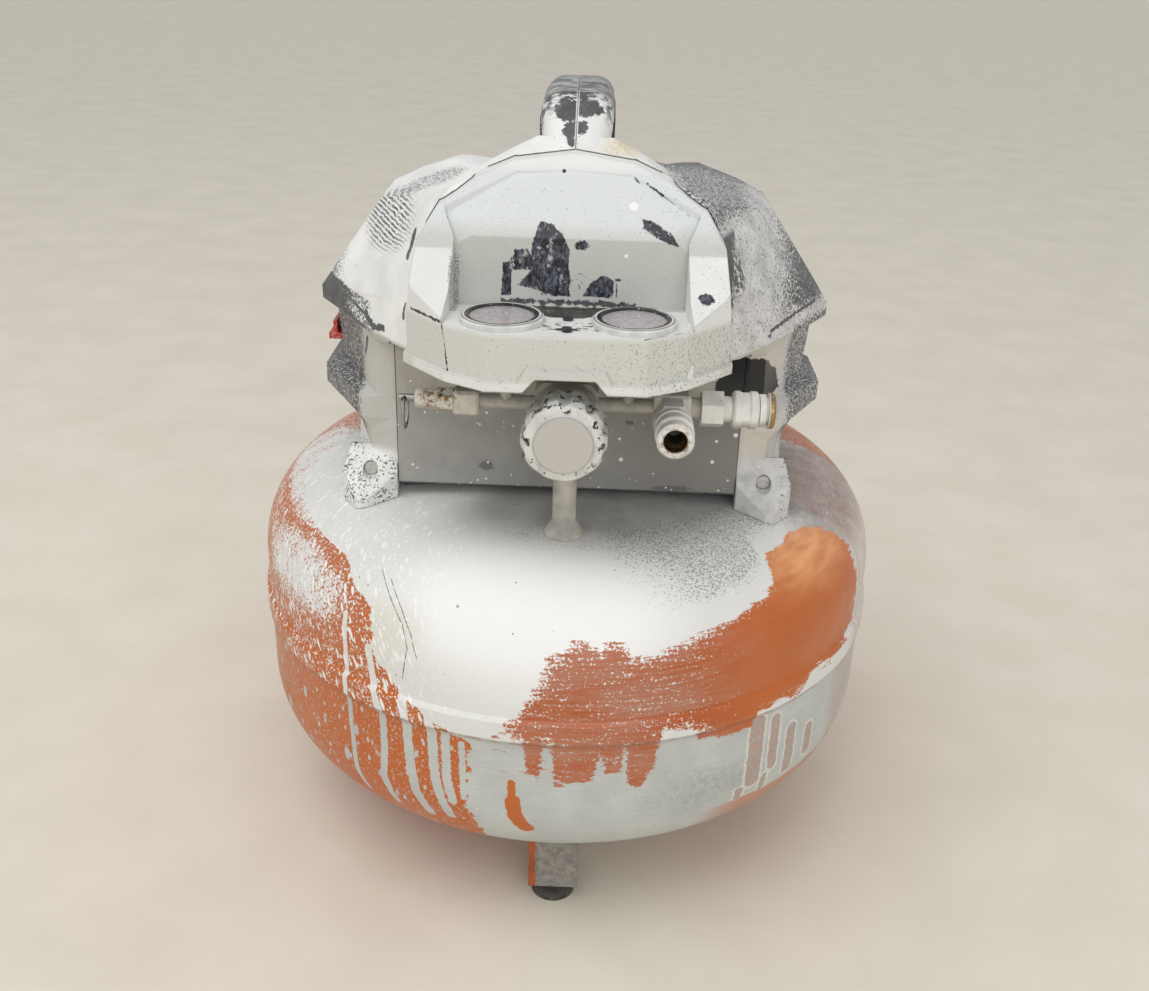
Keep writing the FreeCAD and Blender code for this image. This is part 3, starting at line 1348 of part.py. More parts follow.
def delivery_parts():
    """Tube from the head down to the check valve, whose poppet lifts off its seat."""
    high = cylinder_top + valve_plate_thickness + head_cavity / 2
    base = tank_top_at(math.hypot(tube_x, tube_y))
    valve_top = base + check_height
    b = tube_bend
    run_end = Vector(crank_x - head_half, tube_y, high)
    arc_start = Vector(tube_x + b, tube_y, high)
    arc_end = Vector(tube_x, tube_y, high - b)
    middle = Vector(tube_x + b * (1 - math.sqrt(0.5)), tube_y, high - b * (1 - math.sqrt(0.5)))
    path = Part.Wire([Part.LineSegment(run_end, arc_start).toShape(), Part.Arc(arc_start, middle, arc_end).toShape(),
                      Part.LineSegment(arc_end, Vector(tube_x, tube_y, valve_top)).toShape()])
    outer = path.makePipeShell([Part.Wire(Part.makeCircle(tube_radius, run_end, X_AXIS))], True, False)
    inner = path.makePipeShell([Part.Wire(Part.makeCircle(tube_bore_radius, run_end, X_AXIS))], True, False)
    pipe = outer.cut(inner)
    at = Vector(tube_x, tube_y, base)
    body = hexagon(check_hex_flats, at, Z_AXIS, check_height)
    room = poppet_height + poppet_travel + 0.3
    hollow = cylinder(check_bore_radius, at + Z_AXIS * check_seat, Z_AXIS, room)
    way_up = cylinder(tube_bore_radius, at + Z_AXIS * check_seat, Z_AXIS, check_height)
    way_down = cylinder(tube_bore_radius, at, Z_AXIS, check_seat)
    body = cut_all(body, [hollow, way_up, way_down, tank_solid(0)])
    poppet = cylinder(poppet_radius, at + Z_AXIS * check_seat, Z_AXIS, poppet_height)
    return pipe, body, poppet


def pressure_switch():
    """Switch box on its nipple, with the lever that sticks out through the left shroud."""
    case = box(switch_x_outer, switch_x_inner, switch_front, switch_back, switch_bottom, switch_top)
    case = case.makeFillet(3, [edge for edge in case.Edges if edge.BoundBox.ZLength > 1])
    bore = lever_pin_radius + running_clearance
    ears = []
    for side in (-1, 1):
        y = lever_y + side * (lever_half_length + 2)
        y0, y1 = sorted((y, y + side * 3))
        ears.append(box(lever_pivot_x - 3, switch_x_outer + 1, y0, y1, lever_z - 4, lever_z + 4))
    case = fuse([case] + ears)
    case = case.cut(cylinder(bore, Vector(lever_pivot_x, lever_y - 20, lever_z), Y_AXIS, 40))
    base = tank_top_at(math.hypot(switch_nipple_x, lever_y)) - 4
    nipple = cylinder(switch_nipple_radius, Vector(switch_nipple_x, lever_y, base), Z_AXIS, switch_bottom - base)
    pin = cylinder(lever_pin_radius, Vector(lever_pivot_x, lever_y - lever_half_length - 5, lever_z), Y_AXIS,
                   2 * lever_half_length + 10)
    half = lever_half_length
    arm = box(-lever_reach, lever_pivot_x + 1, lever_y - half + 0.3, lever_y + half - 0.3, lever_z - 3, lever_z + 1)
    tab = box(-lever_reach + 3, -lever_reach + 5.4, lever_y - half + 0.3, lever_y + half - 0.3, lever_z, lever_z + 9)
    lever = fuse([arm, tab, pin])
    return case, nipple.cut(tank_solid(0)), lever


def drain_parts():
    """Petcock under the tank's bung, whose knob turns on its stem."""
    low = tank_floor_gap - bung_height
    body_low = low - drain_body_height
    stem_bore = drain_stem_radius + running_clearance
    body = tube(drain_body_radius, stem_bore, Vector(0, 0, body_low), Z_AXIS, drain_body_height)
    knob_top = body_low - drain_gap
    knob_low = knob_top - drain_knob_height
    wing = box(-drain_knob_radius, drain_knob_radius, -2, 2, knob_low, knob_top)
    hub = cylinder(drain_body_radius - 1, Vector(0, 0, knob_low), Z_AXIS, drain_knob_height)
    stem = cylinder(drain_stem_radius, Vector(0, 0, knob_low), Z_AXIS, drain_knob_height + drain_gap + 8)
    return body, fuse([wing, hub, stem])


def drain_bung():
    """Threaded boss welded under the middle of the tank."""
    bung = tube(bung_radius, drain_body_radius - 1.5, Vector(0, 0, tank_floor_gap - bung_height), Z_AXIS,
                bung_height + 1)
    return bung.cut(tank_solid(0))


def mirror_x(shape):
    return shape.mirror(Vector(0, 0, 0), X_AXIS)


def build():
    parts = {}
    parts["tank_upper_half"], parts["tank_lower_half"] = tank_halves()
    leg, foot, screw = leg_parts()
    parts["tank_legs"] = Part.makeCompound(around_z(leg, leg_count))
    parts["rubber_feet"] = Part.makeCompound(around_z(foot, leg_count))
    parts["foot_screws"] = Part.makeCompound(around_z(screw, leg_count))
    parts["drain_valve_body"], parts["drain_knob"] = drain_parts()
    parts["outlet_stub_pipe"] = outlet_stub()
    body, bonnet, disc, spring, screw = regulator_parts()
    parts["regulator_body"] = body
    parts["regulator_bonnet"] = bonnet
    parts["regulator_diaphragm"] = disc
    parts["regulator_spring"] = spring
    parts["regulator_screw"] = screw
    parts["regulator_knob"] = regulator_knob()
    block, tee, nipples = air_line_blocks()
    switch_case, switch_nipple, switch_lever = pressure_switch()
    parts["air_line_blocks"] = Part.makeCompound([block, tee])
    parts["air_line_nipples"] = Part.makeCompound(nipples + [switch_nipple])
    parts["pressure_switch"] = switch_case
    parts["switch_lever"] = switch_lever
    body, stem, ring = safety_valve()
    parts["safety_valve_body"] = body
    parts["safety_valve_stem"] = stem
    parts["safety_pull_ring"] = ring
    side_base = Vector(side_coupler_base(), line_y, line_height)
    parts["side_coupler_body"], parts["side_coupler_sleeve"] = coupler(side_base, X_AXIS)
    front_base = Vector(tee_block_x, line_y - tee_block_size / 2, line_height)
    parts["front_coupler_body"], parts["front_coupler_sleeve"] = coupler(front_base, -Y_AXIS)
    left = gauge(-gauge_x, needle_zero_angle)
    right = gauge(gauge_x, needle_zero_angle)
    parts["gauge_cases"] = Part.makeCompound([left[0], right[0]])
    parts["gauge_dials"] = Part.makeCompound([left[1], right[1]])
    parts["gauge_lenses"] = Part.makeCompound([left[2], right[2]])
    parts["outlet_gauge_needle"] = left[3]
    parts["tank_gauge_needle"] = right[3]
    parts["gauge_tubes"] = Part.makeCompound([gauge_tube(-gauge_x), gauge_tube(gauge_x)])
    parts["console"] = console()
    shroud = right_shroud()
    parts["right_shroud"] = shroud
    parts["left_shroud"] = largest_solid(mirror_x(shroud).cut(lever_slot()))
    parts["handle_grips"] = Part.makeCompound([handle_grip(), mirror_x(handle_grip())])
    parts["front_skirt"] = front_skirt()
    parts["rear_cover"] = rear_cover()
    parts["cord_gland"] = cord_gland()
    parts["shroud_screws"] = Part.makeCompound(corner_screws() + console_screws())
    parts["saddle_bracket"] = saddle_bracket()
    parts["rubber_mounts"] = rubber_mounts()
    parts["pump_frame"] = pump_frame()
    stator, bell, bearings, rotor, fan = motor_parts()
    crankshaft, wheel, crank_bearing = crank_parts()
    parts["motor_stator"] = stator
    parts["motor_end_bell"] = bell
    parts["bearings"] = Part.makeCompound(bearings + [crank_bearing])
    parts["motor_rotor"] = rotor
    parts["motor_fan"] = fan
    parts["drive_belt"] = drive_belt()
    parts["crankshaft"] = crankshaft
    parts["crank_wheel"] = wheel
    rod, piston, seal = rod_and_piston()
    parts["connecting_rod"] = rod
    parts["piston"] = Part.makeCompound([piston, seal])
    sleeve, plate, reeds, head, screws, intake_filter = cylinder_parts()
    parts["cylinder_sleeve"] = sleeve
    parts["valve_plate"] = Part.makeCompound([plate] + reeds)
    parts["cylinder_head"] = head
    parts["head_screws"] = screws
    parts["intake_filter"] = intake_filter
    parts["delivery_tube"], parts["check_valve_body"], parts["check_valve_poppet"] = delivery_parts()
    return parts


def main():
    os.makedirs("parts", exist_ok=True)
    for name, shape in build().items():
        shape.exportStep(os.path.join("parts", name + ".step"))
        size = shape.BoundBox
        print(name, len(shape.Solids), shape.isValid(), round(shape.Volume), round(size.XMin, 1), round(size.XMax, 1),
              round(size.YMin, 1), round(size.YMax, 1), round(size.ZMin, 1), round(size.ZMax, 1))


main()
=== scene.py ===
import math

import bpy
from mathutils import Matrix, Vector

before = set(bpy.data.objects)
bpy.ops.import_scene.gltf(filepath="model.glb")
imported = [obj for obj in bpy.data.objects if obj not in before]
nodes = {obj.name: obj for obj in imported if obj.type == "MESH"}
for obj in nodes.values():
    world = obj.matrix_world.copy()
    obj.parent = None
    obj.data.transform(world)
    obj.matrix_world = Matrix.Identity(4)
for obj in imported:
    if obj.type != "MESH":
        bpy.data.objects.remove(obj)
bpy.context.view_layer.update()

MM = 0.001
EVEN = (1.0, 1.0, 1.0)

# Camera at the photograph's place, in metres and degrees
camera_place = Vector((0.0145, -0.762, 0.561))
camera_pitch = 25.09
camera_yaw = 0.80
camera_roll = 1.81
camera_lens = 38.9

# Stage, in metres and watts
floor_radius = 30.0
lamp_aim = (0.0, 0.0, 0.3)
ceiling_lamp = {"place": (-0.8, -0.8, 2.3), "size": (2.2, 1.6), "watts": 19.0}
front_lamp = {"place": (0.6, -2.2, 1.2), "size": (1.6, 1.2), "watts": 11.0}
room_light = (0.62, 0.62, 0.63, 1.0)

# Sizes of the part that the finishes follow, in millimetres
tank_radius = 200.0
seam_height = 146.0
lap_height = 158.2
leg_front = -134.0
leg_left = -10.5
recess_low = 272.0
recess_high = 341.0
console_deck = 375.0
pocket_back = -131.0
fascia_top = 376.0
skirt_foot = 250.0
gauge_x = 33.3
gauge_y = -160.0
gauge_window_radius = 16.4
gauge_groove_radius = 20.3
knob_x = 0.0
knob_height = 318.5
knob_ring_radius = 15.0
coupler_mouth = (57.0, -176.0, 318.5)
coupler_bore_radius = 6.3
side_coupler_end = 110.0
low_screws_top = 330.0

# Places round the tank, in degrees from its front
per_degree = math.radians(1.0) * tank_radius
smear_end = 65.5
rear_start = 98.0


# Colours, written as 0 to 255 in sRGB
ORANGE = (194, 102, 36)
# Painted highlight on the orange enamel
ORANGE_HIGHLIGHT = (240, 172, 116)
ORANGE_RED = (176, 84, 34)
PINK_HAZE = (184, 140, 120)
PAINT_WHITE = (244, 244, 242)
PAINT_PALE = (222, 222, 217)
PAINT_CREAM = (218, 212, 192)
DROP_WHITE = (243, 243, 240)
CHARCOAL = (58, 59, 62)
SHROUD_BARE = (64, 65, 68)
NEAR_BLACK = (20, 20, 24)
SLATE = (120, 124, 142)
RUST = (128, 78, 42)
BRASS = (186, 152, 92)
ROOM_SEEN = (214, 213, 211)


def linear(colour):
    """A colour of 0 to 255 as the linear one that a shader takes; a socket or linear colour as it is."""
    if not isinstance(colour, tuple) or len(colour) == 4:
        return colour
    shares = [value / 255 for value in colour]
    return (*(s / 12.92 if s <= 0.04045 else ((s + 0.055) / 1.055) ** 2.4 for s in shares), 1.0)


def shaded(colour, share, lift=0.0):
    """The colour's linear parts times share, plus lift."""
    return (*(min(1.0, part * share + lift) for part in linear(colour)[:3]), 1.0)


class Finish:
    """The node tree of one material. Its methods add nodes and return a socket."""

    def __init__(self, name):
        self.material = bpy.data.materials.new(name)
        self.material.use_nodes = True
        self.tree = self.material.node_tree
        self.shader = self.tree.nodes["Principled BSDF"]
        metres = self.add("ShaderNodeTexCoord").outputs["Object"]
        self.mm = self.vector("SCALE", metres, scale=1 / MM)
        self.x, self.y, self.z = self.add("ShaderNodeSeparateXYZ", Vector=self.mm).outputs
        self.place = self.mm

    def put(self, socket, value):
        if isinstance(value, bpy.types.NodeSocket):
            self.tree.links.new(value, socket)
        else:
            socket.default_value = value

    def add(self, kind, settings=None, **inputs):
        node = self.tree.nodes.new(kind)
        for key, value in (settings or {}).items():
            setattr(node, key, value)
        for key, value in inputs.items():
            self.put(node.inputs[key.replace("_", " ")], value)
        return node

    def math(self, operation, *values, clamp=False):
        node = self.add("ShaderNodeMath", {"operation": operation, "use_clamp": clamp})
        for socket, value in zip(node.inputs, values):
            self.put(socket, value)
        return node.outputs[0]

    def chain(self, operation, found, *values):
        for value in values:
            found = self.math(operation, found, value)
        return found

    def times(self, *values):
        return self.chain("MULTIPLY", *values)

    def plus(self, *values):
        return self.chain("ADD", *values)

    def minus(self, *values):
        return self.chain("SUBTRACT", *values)

    def least(self, *values):
        return self.chain("MINIMUM", *values)

    def most(self, *values):
        return self.chain("MAXIMUM", *values)

    def rest(self, value):
        """What is left of 1."""
        return self.minus(1, value)

    def size_of(self, value):
        return self.math("ABSOLUTE", value)

    def scaled(self, value, share, start):
        """start plus value times share."""
        return self.math("MULTIPLY_ADD", value, share, start)

    def reach(self, first, second):
        """Length of the long side over two short ones."""
        return self.math("SQRT", self.plus(self.times(first, first), self.times(second, second)))

    def vector(self, operation, *values, scale=None):
        node = self.add("ShaderNodeVectorMath", {"operation": operation})
        for socket, value in zip(node.inputs, values):
            self.put(socket, value)
        if scale is not None:
            self.put(node.inputs["Scale"], scale)
        single = operation in ("LENGTH", "DISTANCE", "DOT_PRODUCT")
        return node.outputs["Value" if single else "Vector"]

    def point(self, x, y, z):
        return self.add("ShaderNodeCombineXYZ", X=x, Y=y, Z=z).outputs[0]

    def step(self, value, low, high):
        """0 at low and 1 at high, smooth between; low may be the larger."""
        node = self.add("ShaderNodeMapRange", {"interpolation_type": "SMOOTHSTEP"})
        for key, number in (("Value", value), ("From Min", low), ("From Max", high)):
            self.put(node.inputs[key], number)
        return node.outputs[0]

    def where(self, **edges):
        """1 where each named coordinate is past its second number, 0 where one is before its first."""
        return self.times(*(self.step(getattr(self, axis), *ends) for axis, ends in edges.items()))

    def band(self, value, low, high, soft):
        """1 between low and high, fading out over soft beyond them."""
        return self.times(self.step(value, low - soft, low), self.step(value, high + soft, high))

    def curve(self, value, points):
        """Height at value on the bent line through points, each written as (place, height)."""
        places = [place for place, _ in points]
        heights = [height for _, height in points]
        left, wide = min(places), max(places) - min(places)
        low, tall = min(heights), max(heights) - min(heights)
        node = self.add("ShaderNodeFloatCurve")
        line = node.mapping.curves[0]
        corners = [((place - left) / wide, (height - low) / tall) for place, height in points]
        line.points[0].location = corners[0]
        line.points[1].location = corners[-1]
        for corner in corners[1:-1]:
            line.points.new(*corner)
        for corner in line.points:
            corner.handle_type = "VECTOR"
        node.mapping.update()
        self.put(node.inputs["Value"], self.math("DIVIDE", self.minus(value, left), wide, clamp=True))
        return self.scaled(node.outputs[0], tall, low)

    def grid(self, size, stretch, at):
        """Places counted in cells of size millimetres, longer where stretched."""
        scale = tuple(1 / (size * part) for part in stretch)
        return self.add("ShaderNodeMapping", Vector=at or self.place, Scale=scale).outputs[0]

    def raw(self, size, detail=4, rough=0.6, stretch=EVEN, at=None):
        """Noise from about -1 to 1 whose blotches are size millimetres across."""
        place = self.grid(size, stretch, at)
        node = self.add("ShaderNodeTexNoise", Vector=place, Scale=1, Detail=detail, Roughness=rough)
        return self.scaled(node.outputs["Fac"], 4, -2)

    def noise(self, size, detail=3, rough=0.55, stretch=EVEN, at=None):
        """Soft noise of about 0 to 1 whose blotches are size millimetres across."""
        return self.step(self.raw(size, detail, rough, stretch, at), -1, 1)

    def torn(self, distance, depth, size=6, soft=0.4, stretch=EVEN, at=None):
        """1 where distance is over 0, with a torn edge about depth millimetres deep."""
        return self.step(self.scaled(self.raw(size, 6, 0.68, stretch, at), depth, distance), -soft, soft)

    def dots(self, size, radius, share, stretch=EVEN, at=None, soft=0.35):
        """Round dots on a jittered grid of that size, in a share of its cells."""
        node = self.add("ShaderNodeTexVoronoi", Vector=self.grid(size, stretch, at), Scale=1)
        cell = self.add("ShaderNodeSeparateColor", Color=node.outputs["Color"])
        reach = self.times(cell.outputs[0], radius)
        dot = self.step(node.outputs["Distance"], reach, self.times(reach, 1 - soft))
        return self.times(dot, self.math("LESS_THAN", cell.outputs[1], share))

    def pins(self, small, large, share):
        """Small dots, and large ones by a share, each written as size, radius and share of cells."""
        return self.most(self.dots(*small, at=self.mm), self.times(self.dots(*large, at=self.mm), share))

    def mix(self, first, second, *masks):
        """Two colours mixed: the second one shows where all the masks are 1."""
        return self.mixed("RGBA", 6, linear(first), linear(second), self.times(*masks))

    def blend(self, first, second, factor):
        """Two numbers mixed; the factor is the second one's share."""
        return self.mixed("FLOAT", 2, first, second, factor)

    def mixed(self, kind, index, first, second, factor):
        node = self.add("ShaderNodeMix", {"data_type": kind})
        self.put(node.inputs[0], factor)
        self.put(node.inputs[index], first)
        self.put(node.inputs[index + 1], second)
        return node.outputs[2 if kind == "RGBA" else 0]

    def away(self, centre, radii):
        """Distance from centre as a share of an ellipsoid's radii."""
        offset = self.vector("SUBTRACT", self.place, centre)
        return self.vector("LENGTH", self.vector("MULTIPLY", offset, tuple(1 / r for r in radii)))

    def blob(self, centre, radii, soft):
        """1 inside an ellipsoid, fading out over the share soft beyond it."""
        return self.step(self.away(centre, radii), 1 + soft, 1 - soft)

    def chip(self, centre, radii, ragged, size):
        """1 inside a torn ellipsoid with a crisp edge."""
        distance = self.scaled(self.raw(size, 6, 0.7), ragged, self.away(centre, radii))
        return self.step(distance, 1.04, 0.96)

    def chips(self, *shapes):
        """Several chips as one mask, each written as centre, radii, ragged and size."""
        return self.most(*(self.chip(*shape) for shape in shapes))

    def gap(self, start, end):
        """Distance in millimetres to the straight line between two points."""
        along = Vector(end) - Vector(start)
        offset = self.vector("SUBTRACT", self.place, start)
        length = self.vector("DOT_PRODUCT", offset, tuple(along))
        share = self.math("DIVIDE", length, along.length_squared, clamp=True)
        return self.vector("DISTANCE", offset, self.vector("SCALE", tuple(along), scale=share))

    def stroke(self, points, width, tear, size, soft=0.2):
        """1 within width millimetres of a bent line, its edges a little torn."""
        nearest = self.least(*(self.gap(a, b) for a, b in zip(points, points[1:])))
        shifted = self.scaled(self.raw(size, 3, 0.6), tear, nearest)
        return self.step(shifted, width + soft, width - soft)

    def strokes(self, *lines):
        """Several strokes as one mask, each written as width, tear, size and points."""
        return self.most(*(self.stroke(points, *look) for *look, points in lines))

    def inside(self, first, second, corners):
        """Depth in millimetres inside a convex outline on two axes; its corners run clockwise."""
        place = self.point(first, second, 0)
        depths = []
        for (ax, ay), (bx, by) in zip(corners, corners[1:] + corners[:1]):
            inward = Vector((by - ay, ax - bx, 0)).normalized()
            offset = inward.x * ax + inward.y * ay
            depths.append(self.minus(self.vector("DOT_PRODUCT", place, tuple(inward)), offset))
        return self.least(*depths)

    def speckle(self, cover, size=1.5, spread=0.42):
        """Spray cover of 0 to 1 broken into fine grains, more of them where it is higher."""
        return self.step(self.scaled(self.raw(size, 2, 0.6, at=self.mm), spread, cover), 0.4, 0.6)

    def rounded(self, radius):
        """Normal as if the edges were rounded by radius millimetres."""
        return self.add("ShaderNodeBevel", {"samples": 4}, Radius=radius * MM).outputs[0]

    def edges(self, rounded, low=0.02, high=0.2):
        """1 along sharp edges, by how far the rounded normal leans off the true one."""
        true = self.add("ShaderNodeNewGeometry").outputs["True Normal"]
        return self.step(self.rest(self.vector("DOT_PRODUCT", rounded, true)), low, high)

    def bump(self, height, strength, distance, below=None):
        node = self.add("ShaderNodeBump", Strength=strength, Distance=distance * MM, Height=height)
        if below is not None:
            self.put(node.inputs["Normal"], below)
        return node.outputs[0]

    def done(self, colour, rough, normal=None, metal=0, **sockets):
        sockets.update({"Base Color": colour, "Roughness": rough, "Metallic": metal})
        if normal is not None:
            sockets["Normal"] = normal
        for key, value in sockets.items():
            self.put(self.shader.inputs[key], value)
        return self.material


class TankFinish(Finish):
    """A finish laid on the tank's unrolled skin: turn is in degrees from the front, level in millimetres."""

    def __init__(self, name):
        super().__init__(name)
        self.turn = self.math("DEGREES", self.math("ARCTAN2", self.x, self.times(self.y, -1)))
        above = self.scaled(self.math("GREATER_THAN", self.z, seam_height), 2, -1)
        inward = self.minus(tank_radius, self.reach(self.x, self.y))
        self.level = self.scaled(inward, above, self.z)
        self.place = self.point(self.times(self.turn, per_degree), self.level, 0)

    def spot(self, degrees, level):
        return (degrees * per_degree, level, 0)

    def span(self, turn, start):
        """Millimetres along the skin from one turn to another."""
        return self.times(self.minus(turn, start), per_degree)

    def patch(self, degrees, level, wide, tall, soft):
        """1 inside an ellipse on the skin, fading out over the share soft beyond it."""
        return self.blob(self.spot(degrees, level), (wide, tall, 1), soft)

    def stroke(self, points, width, tear, size, soft=0.2):
        """1 near a bent line on the skin, whose points are written as degrees and level."""
        return super().stroke([self.spot(*point) for point in points], width, tear, size, soft)


def plain(name, colour, rough, metal=0, fleck=None, share=0.15):
    """A moulded, cast or plated surface with mottling, fine grain, rubbed edges and some flecks."""
    f = Finish(name)
    mottle = f.noise(18, 5)
    rounded = f.rounded(0.5)
    tone = f.mix(colour, shaded(colour, 0.66), mottle, 0.7)
    tone = f.mix(tone, shaded(colour, 1.5, 0.03), f.edges(rounded), 0.5)
    scratch = f.step(f.raw(1.4, 2, 0.6, (14, 1, 3)), 0.75, 0.95)
    tone = f.mix(tone, shaded(colour, 1.35), scratch, 0.35)
    if fleck is not None:
        tone = f.mix(tone, fleck, f.dots(5, 0.28, share))
    roughness = f.plus(f.blend(rough - 0.08, rough + 0.1, mottle), f.times(scratch, 0.1))
    return f.done(tone, roughness, f.bump(f.noise(0.8), 0.5, 0.05, rounded), metal)


def tank_orange(f):
    """Where the orange shows: on the left, in the rubbed smear on the right, and round the back."""
    left_edge = f.curve(f.level, [
        (70, -12.6), (92, -14.4), (104, -14.8), (140, -13.8), (146, -18), (152, -21.5), (160, -25.5),
        (170, -28), (178, -31), (190, -31.6), (214, -33), (222, -37.5), (230, -39.5), (241, -43),
        (246, -56), (256, -70), (275, -84), (300, -96)])
    is_left = f.torn(f.span(left_edge, f.turn), 5, 7)
    turn = f.scaled(f.raw(4, 5, 0.7, (1, 0.5, 1)), 0.8, f.turn)
    upper_edge = f.curve(turn, [
        (-10, 178), (-3, 196), (0, 207), (4, 215), (7, 210), (9, 217), (11.5, 204), (14, 201), (20, 208),
        (25, 213), (31, 220), (37, 226), (40.5, 236), (41.5, 255), (47, 262), (53, 265), (58, 261),
        (62, 248), (66, 226), (70, 190)])
    lower_edge = f.curve(turn, [
        (-9, 150), (-5, 144), (-4.4, 124), (-2.4, 122), (-2, 143), (-0.4, 143), (0, 119), (6.3, 121),
        (7, 139), (7.7, 139), (8.2, 126), (10.8, 126), (11.4, 148), (11.9, 118), (14, 114), (16.4, 128),
        (17.2, 150), (21.5, 149), (24, 142), (28, 138), (34.3, 137), (34.8, 146), (46, 149), (47.5, 158),
        (55, 153), (60, 158), (66, 168)])
    start = f.curve(f.level, [(118, -6), (146, -9), (160, -7), (175, -4), (190, -2), (204, -1), (215, 1)])
    depth = f.least(f.minus(upper_edge, f.level), f.minus(f.level, lower_edge),
                    f.span(f.turn, start), f.span(smear_end, f.turn))
    is_right = f.torn(depth, 6.5, 6, stretch=(2.4, 0.8, 1))
    is_rear = f.torn(f.span(f.turn, rear_start), 26, 40, 2, at=f.mm)
    return is_left, is_right, is_rear, depth


def tank_enamel(f, is_right, haze):
    """The orange itself, redder and pinker where it was brushed over and rubbed, with a painted highlight
    high on the right, and its brush marks.
    """
    smear = f.times(f.step(f.turn, 42, 18), is_right)
    streak = f.noise(2.6, 5, 0.65, (9, 0.8, 1))
    tone = f.mix(ORANGE, ORANGE_RED, f.most(f.times(smear, 0.85), f.times(f.noise(45, at=f.mm), 0.35)))
    # Painted highlight: a cloudy pool of light orange high on the right
    cloudy = f.blend(0.35, 1, f.noise(14, 3, 0.5, (1.6, 0.8, 1)))
    light = f.math("MULTIPLY", f.times(f.patch(53, 250, 44, 28, 0.9), cloudy), 1.1, clamp=True)
    tone = f.mix(tone, ORANGE_HIGHLIGHT, light)
    rubbed = f.noise(30, 5, 0.6, (2.2, 1, 1))
    clean_lap = f.times(f.band(f.z, seam_height + 4, lap_height + 3, 2.5), f.step(f.turn, 10, 20))
    pinked = f.times(smear, f.plus(f.times(rubbed, 0.75), f.times(f.minus(streak, 0.3), 0.6)))
    pinked = f.most(f.times(pinked, f.rest(clean_lap)), haze)
    tone = f.mix(tone, PINK_HAZE, pinked, 0.8)
    dirt = f.step(f.raw(9, 5, 0.7), 0.5, 1.1)
    return f.mix(tone, shaded(ORANGE_RED, 0.55), dirt, 0.4), f.times(smear, streak)


def left_side(f):
    """1 on the tank's left, fading out towards the back."""
    return f.times(f.step(f.turn, -12, -16), f.step(f.turn, -128, -92))


def side_stain(f, paint, start):
    """Pink dripping stain on the right flank, from start degrees on."""
    drip = f.noise(7, 5, 0.7, (0.6, 5, 1))
    return f.mix(paint, PINK_HAZE, f.band(f.turn, start, 96, 5), drip, 0.6)


def tank_specks(f, paint):
    """Pin specks and pale flecks in the spray."""
    pins = f.pins((6, 0.1, 0.4), (26, 0.045, 0.4), 0.8)
    paint = f.mix(paint, (76, 74, 72), pins, 0.8)
    return f.mix(paint, DROP_WHITE, f.dots(6, 0.16, 0.25, (0.8, 1.4, 1)), 0.7)


def tank_relief(f):
    return f.plus(f.times(f.noise(1.1, at=f.mm), 0.3), f.times(f.noise(3, 4, at=f.mm), 0.25))


def tank_done(f, tone, paint, white, gloss, relief):
    """The tank's material: spray where white is 1, enamel elsewhere, dirt in the seam."""
    colour = f.mix(tone, paint, white)
    in_seam = f.band(f.z, seam_height - 0.8, seam_height + 0.5, 0.7)
    colour = f.mix(colour, (96, 74, 60), in_seam, f.noise(12, 5, 0.7, at=f.mm), 0.7)
    rough = f.blend(f.blend(0.26, 0.42, f.noise(14, 5, at=f.mm)), gloss, white)
    return f.done(colour, rough, f.bump(relief, 0.75, 0.3))


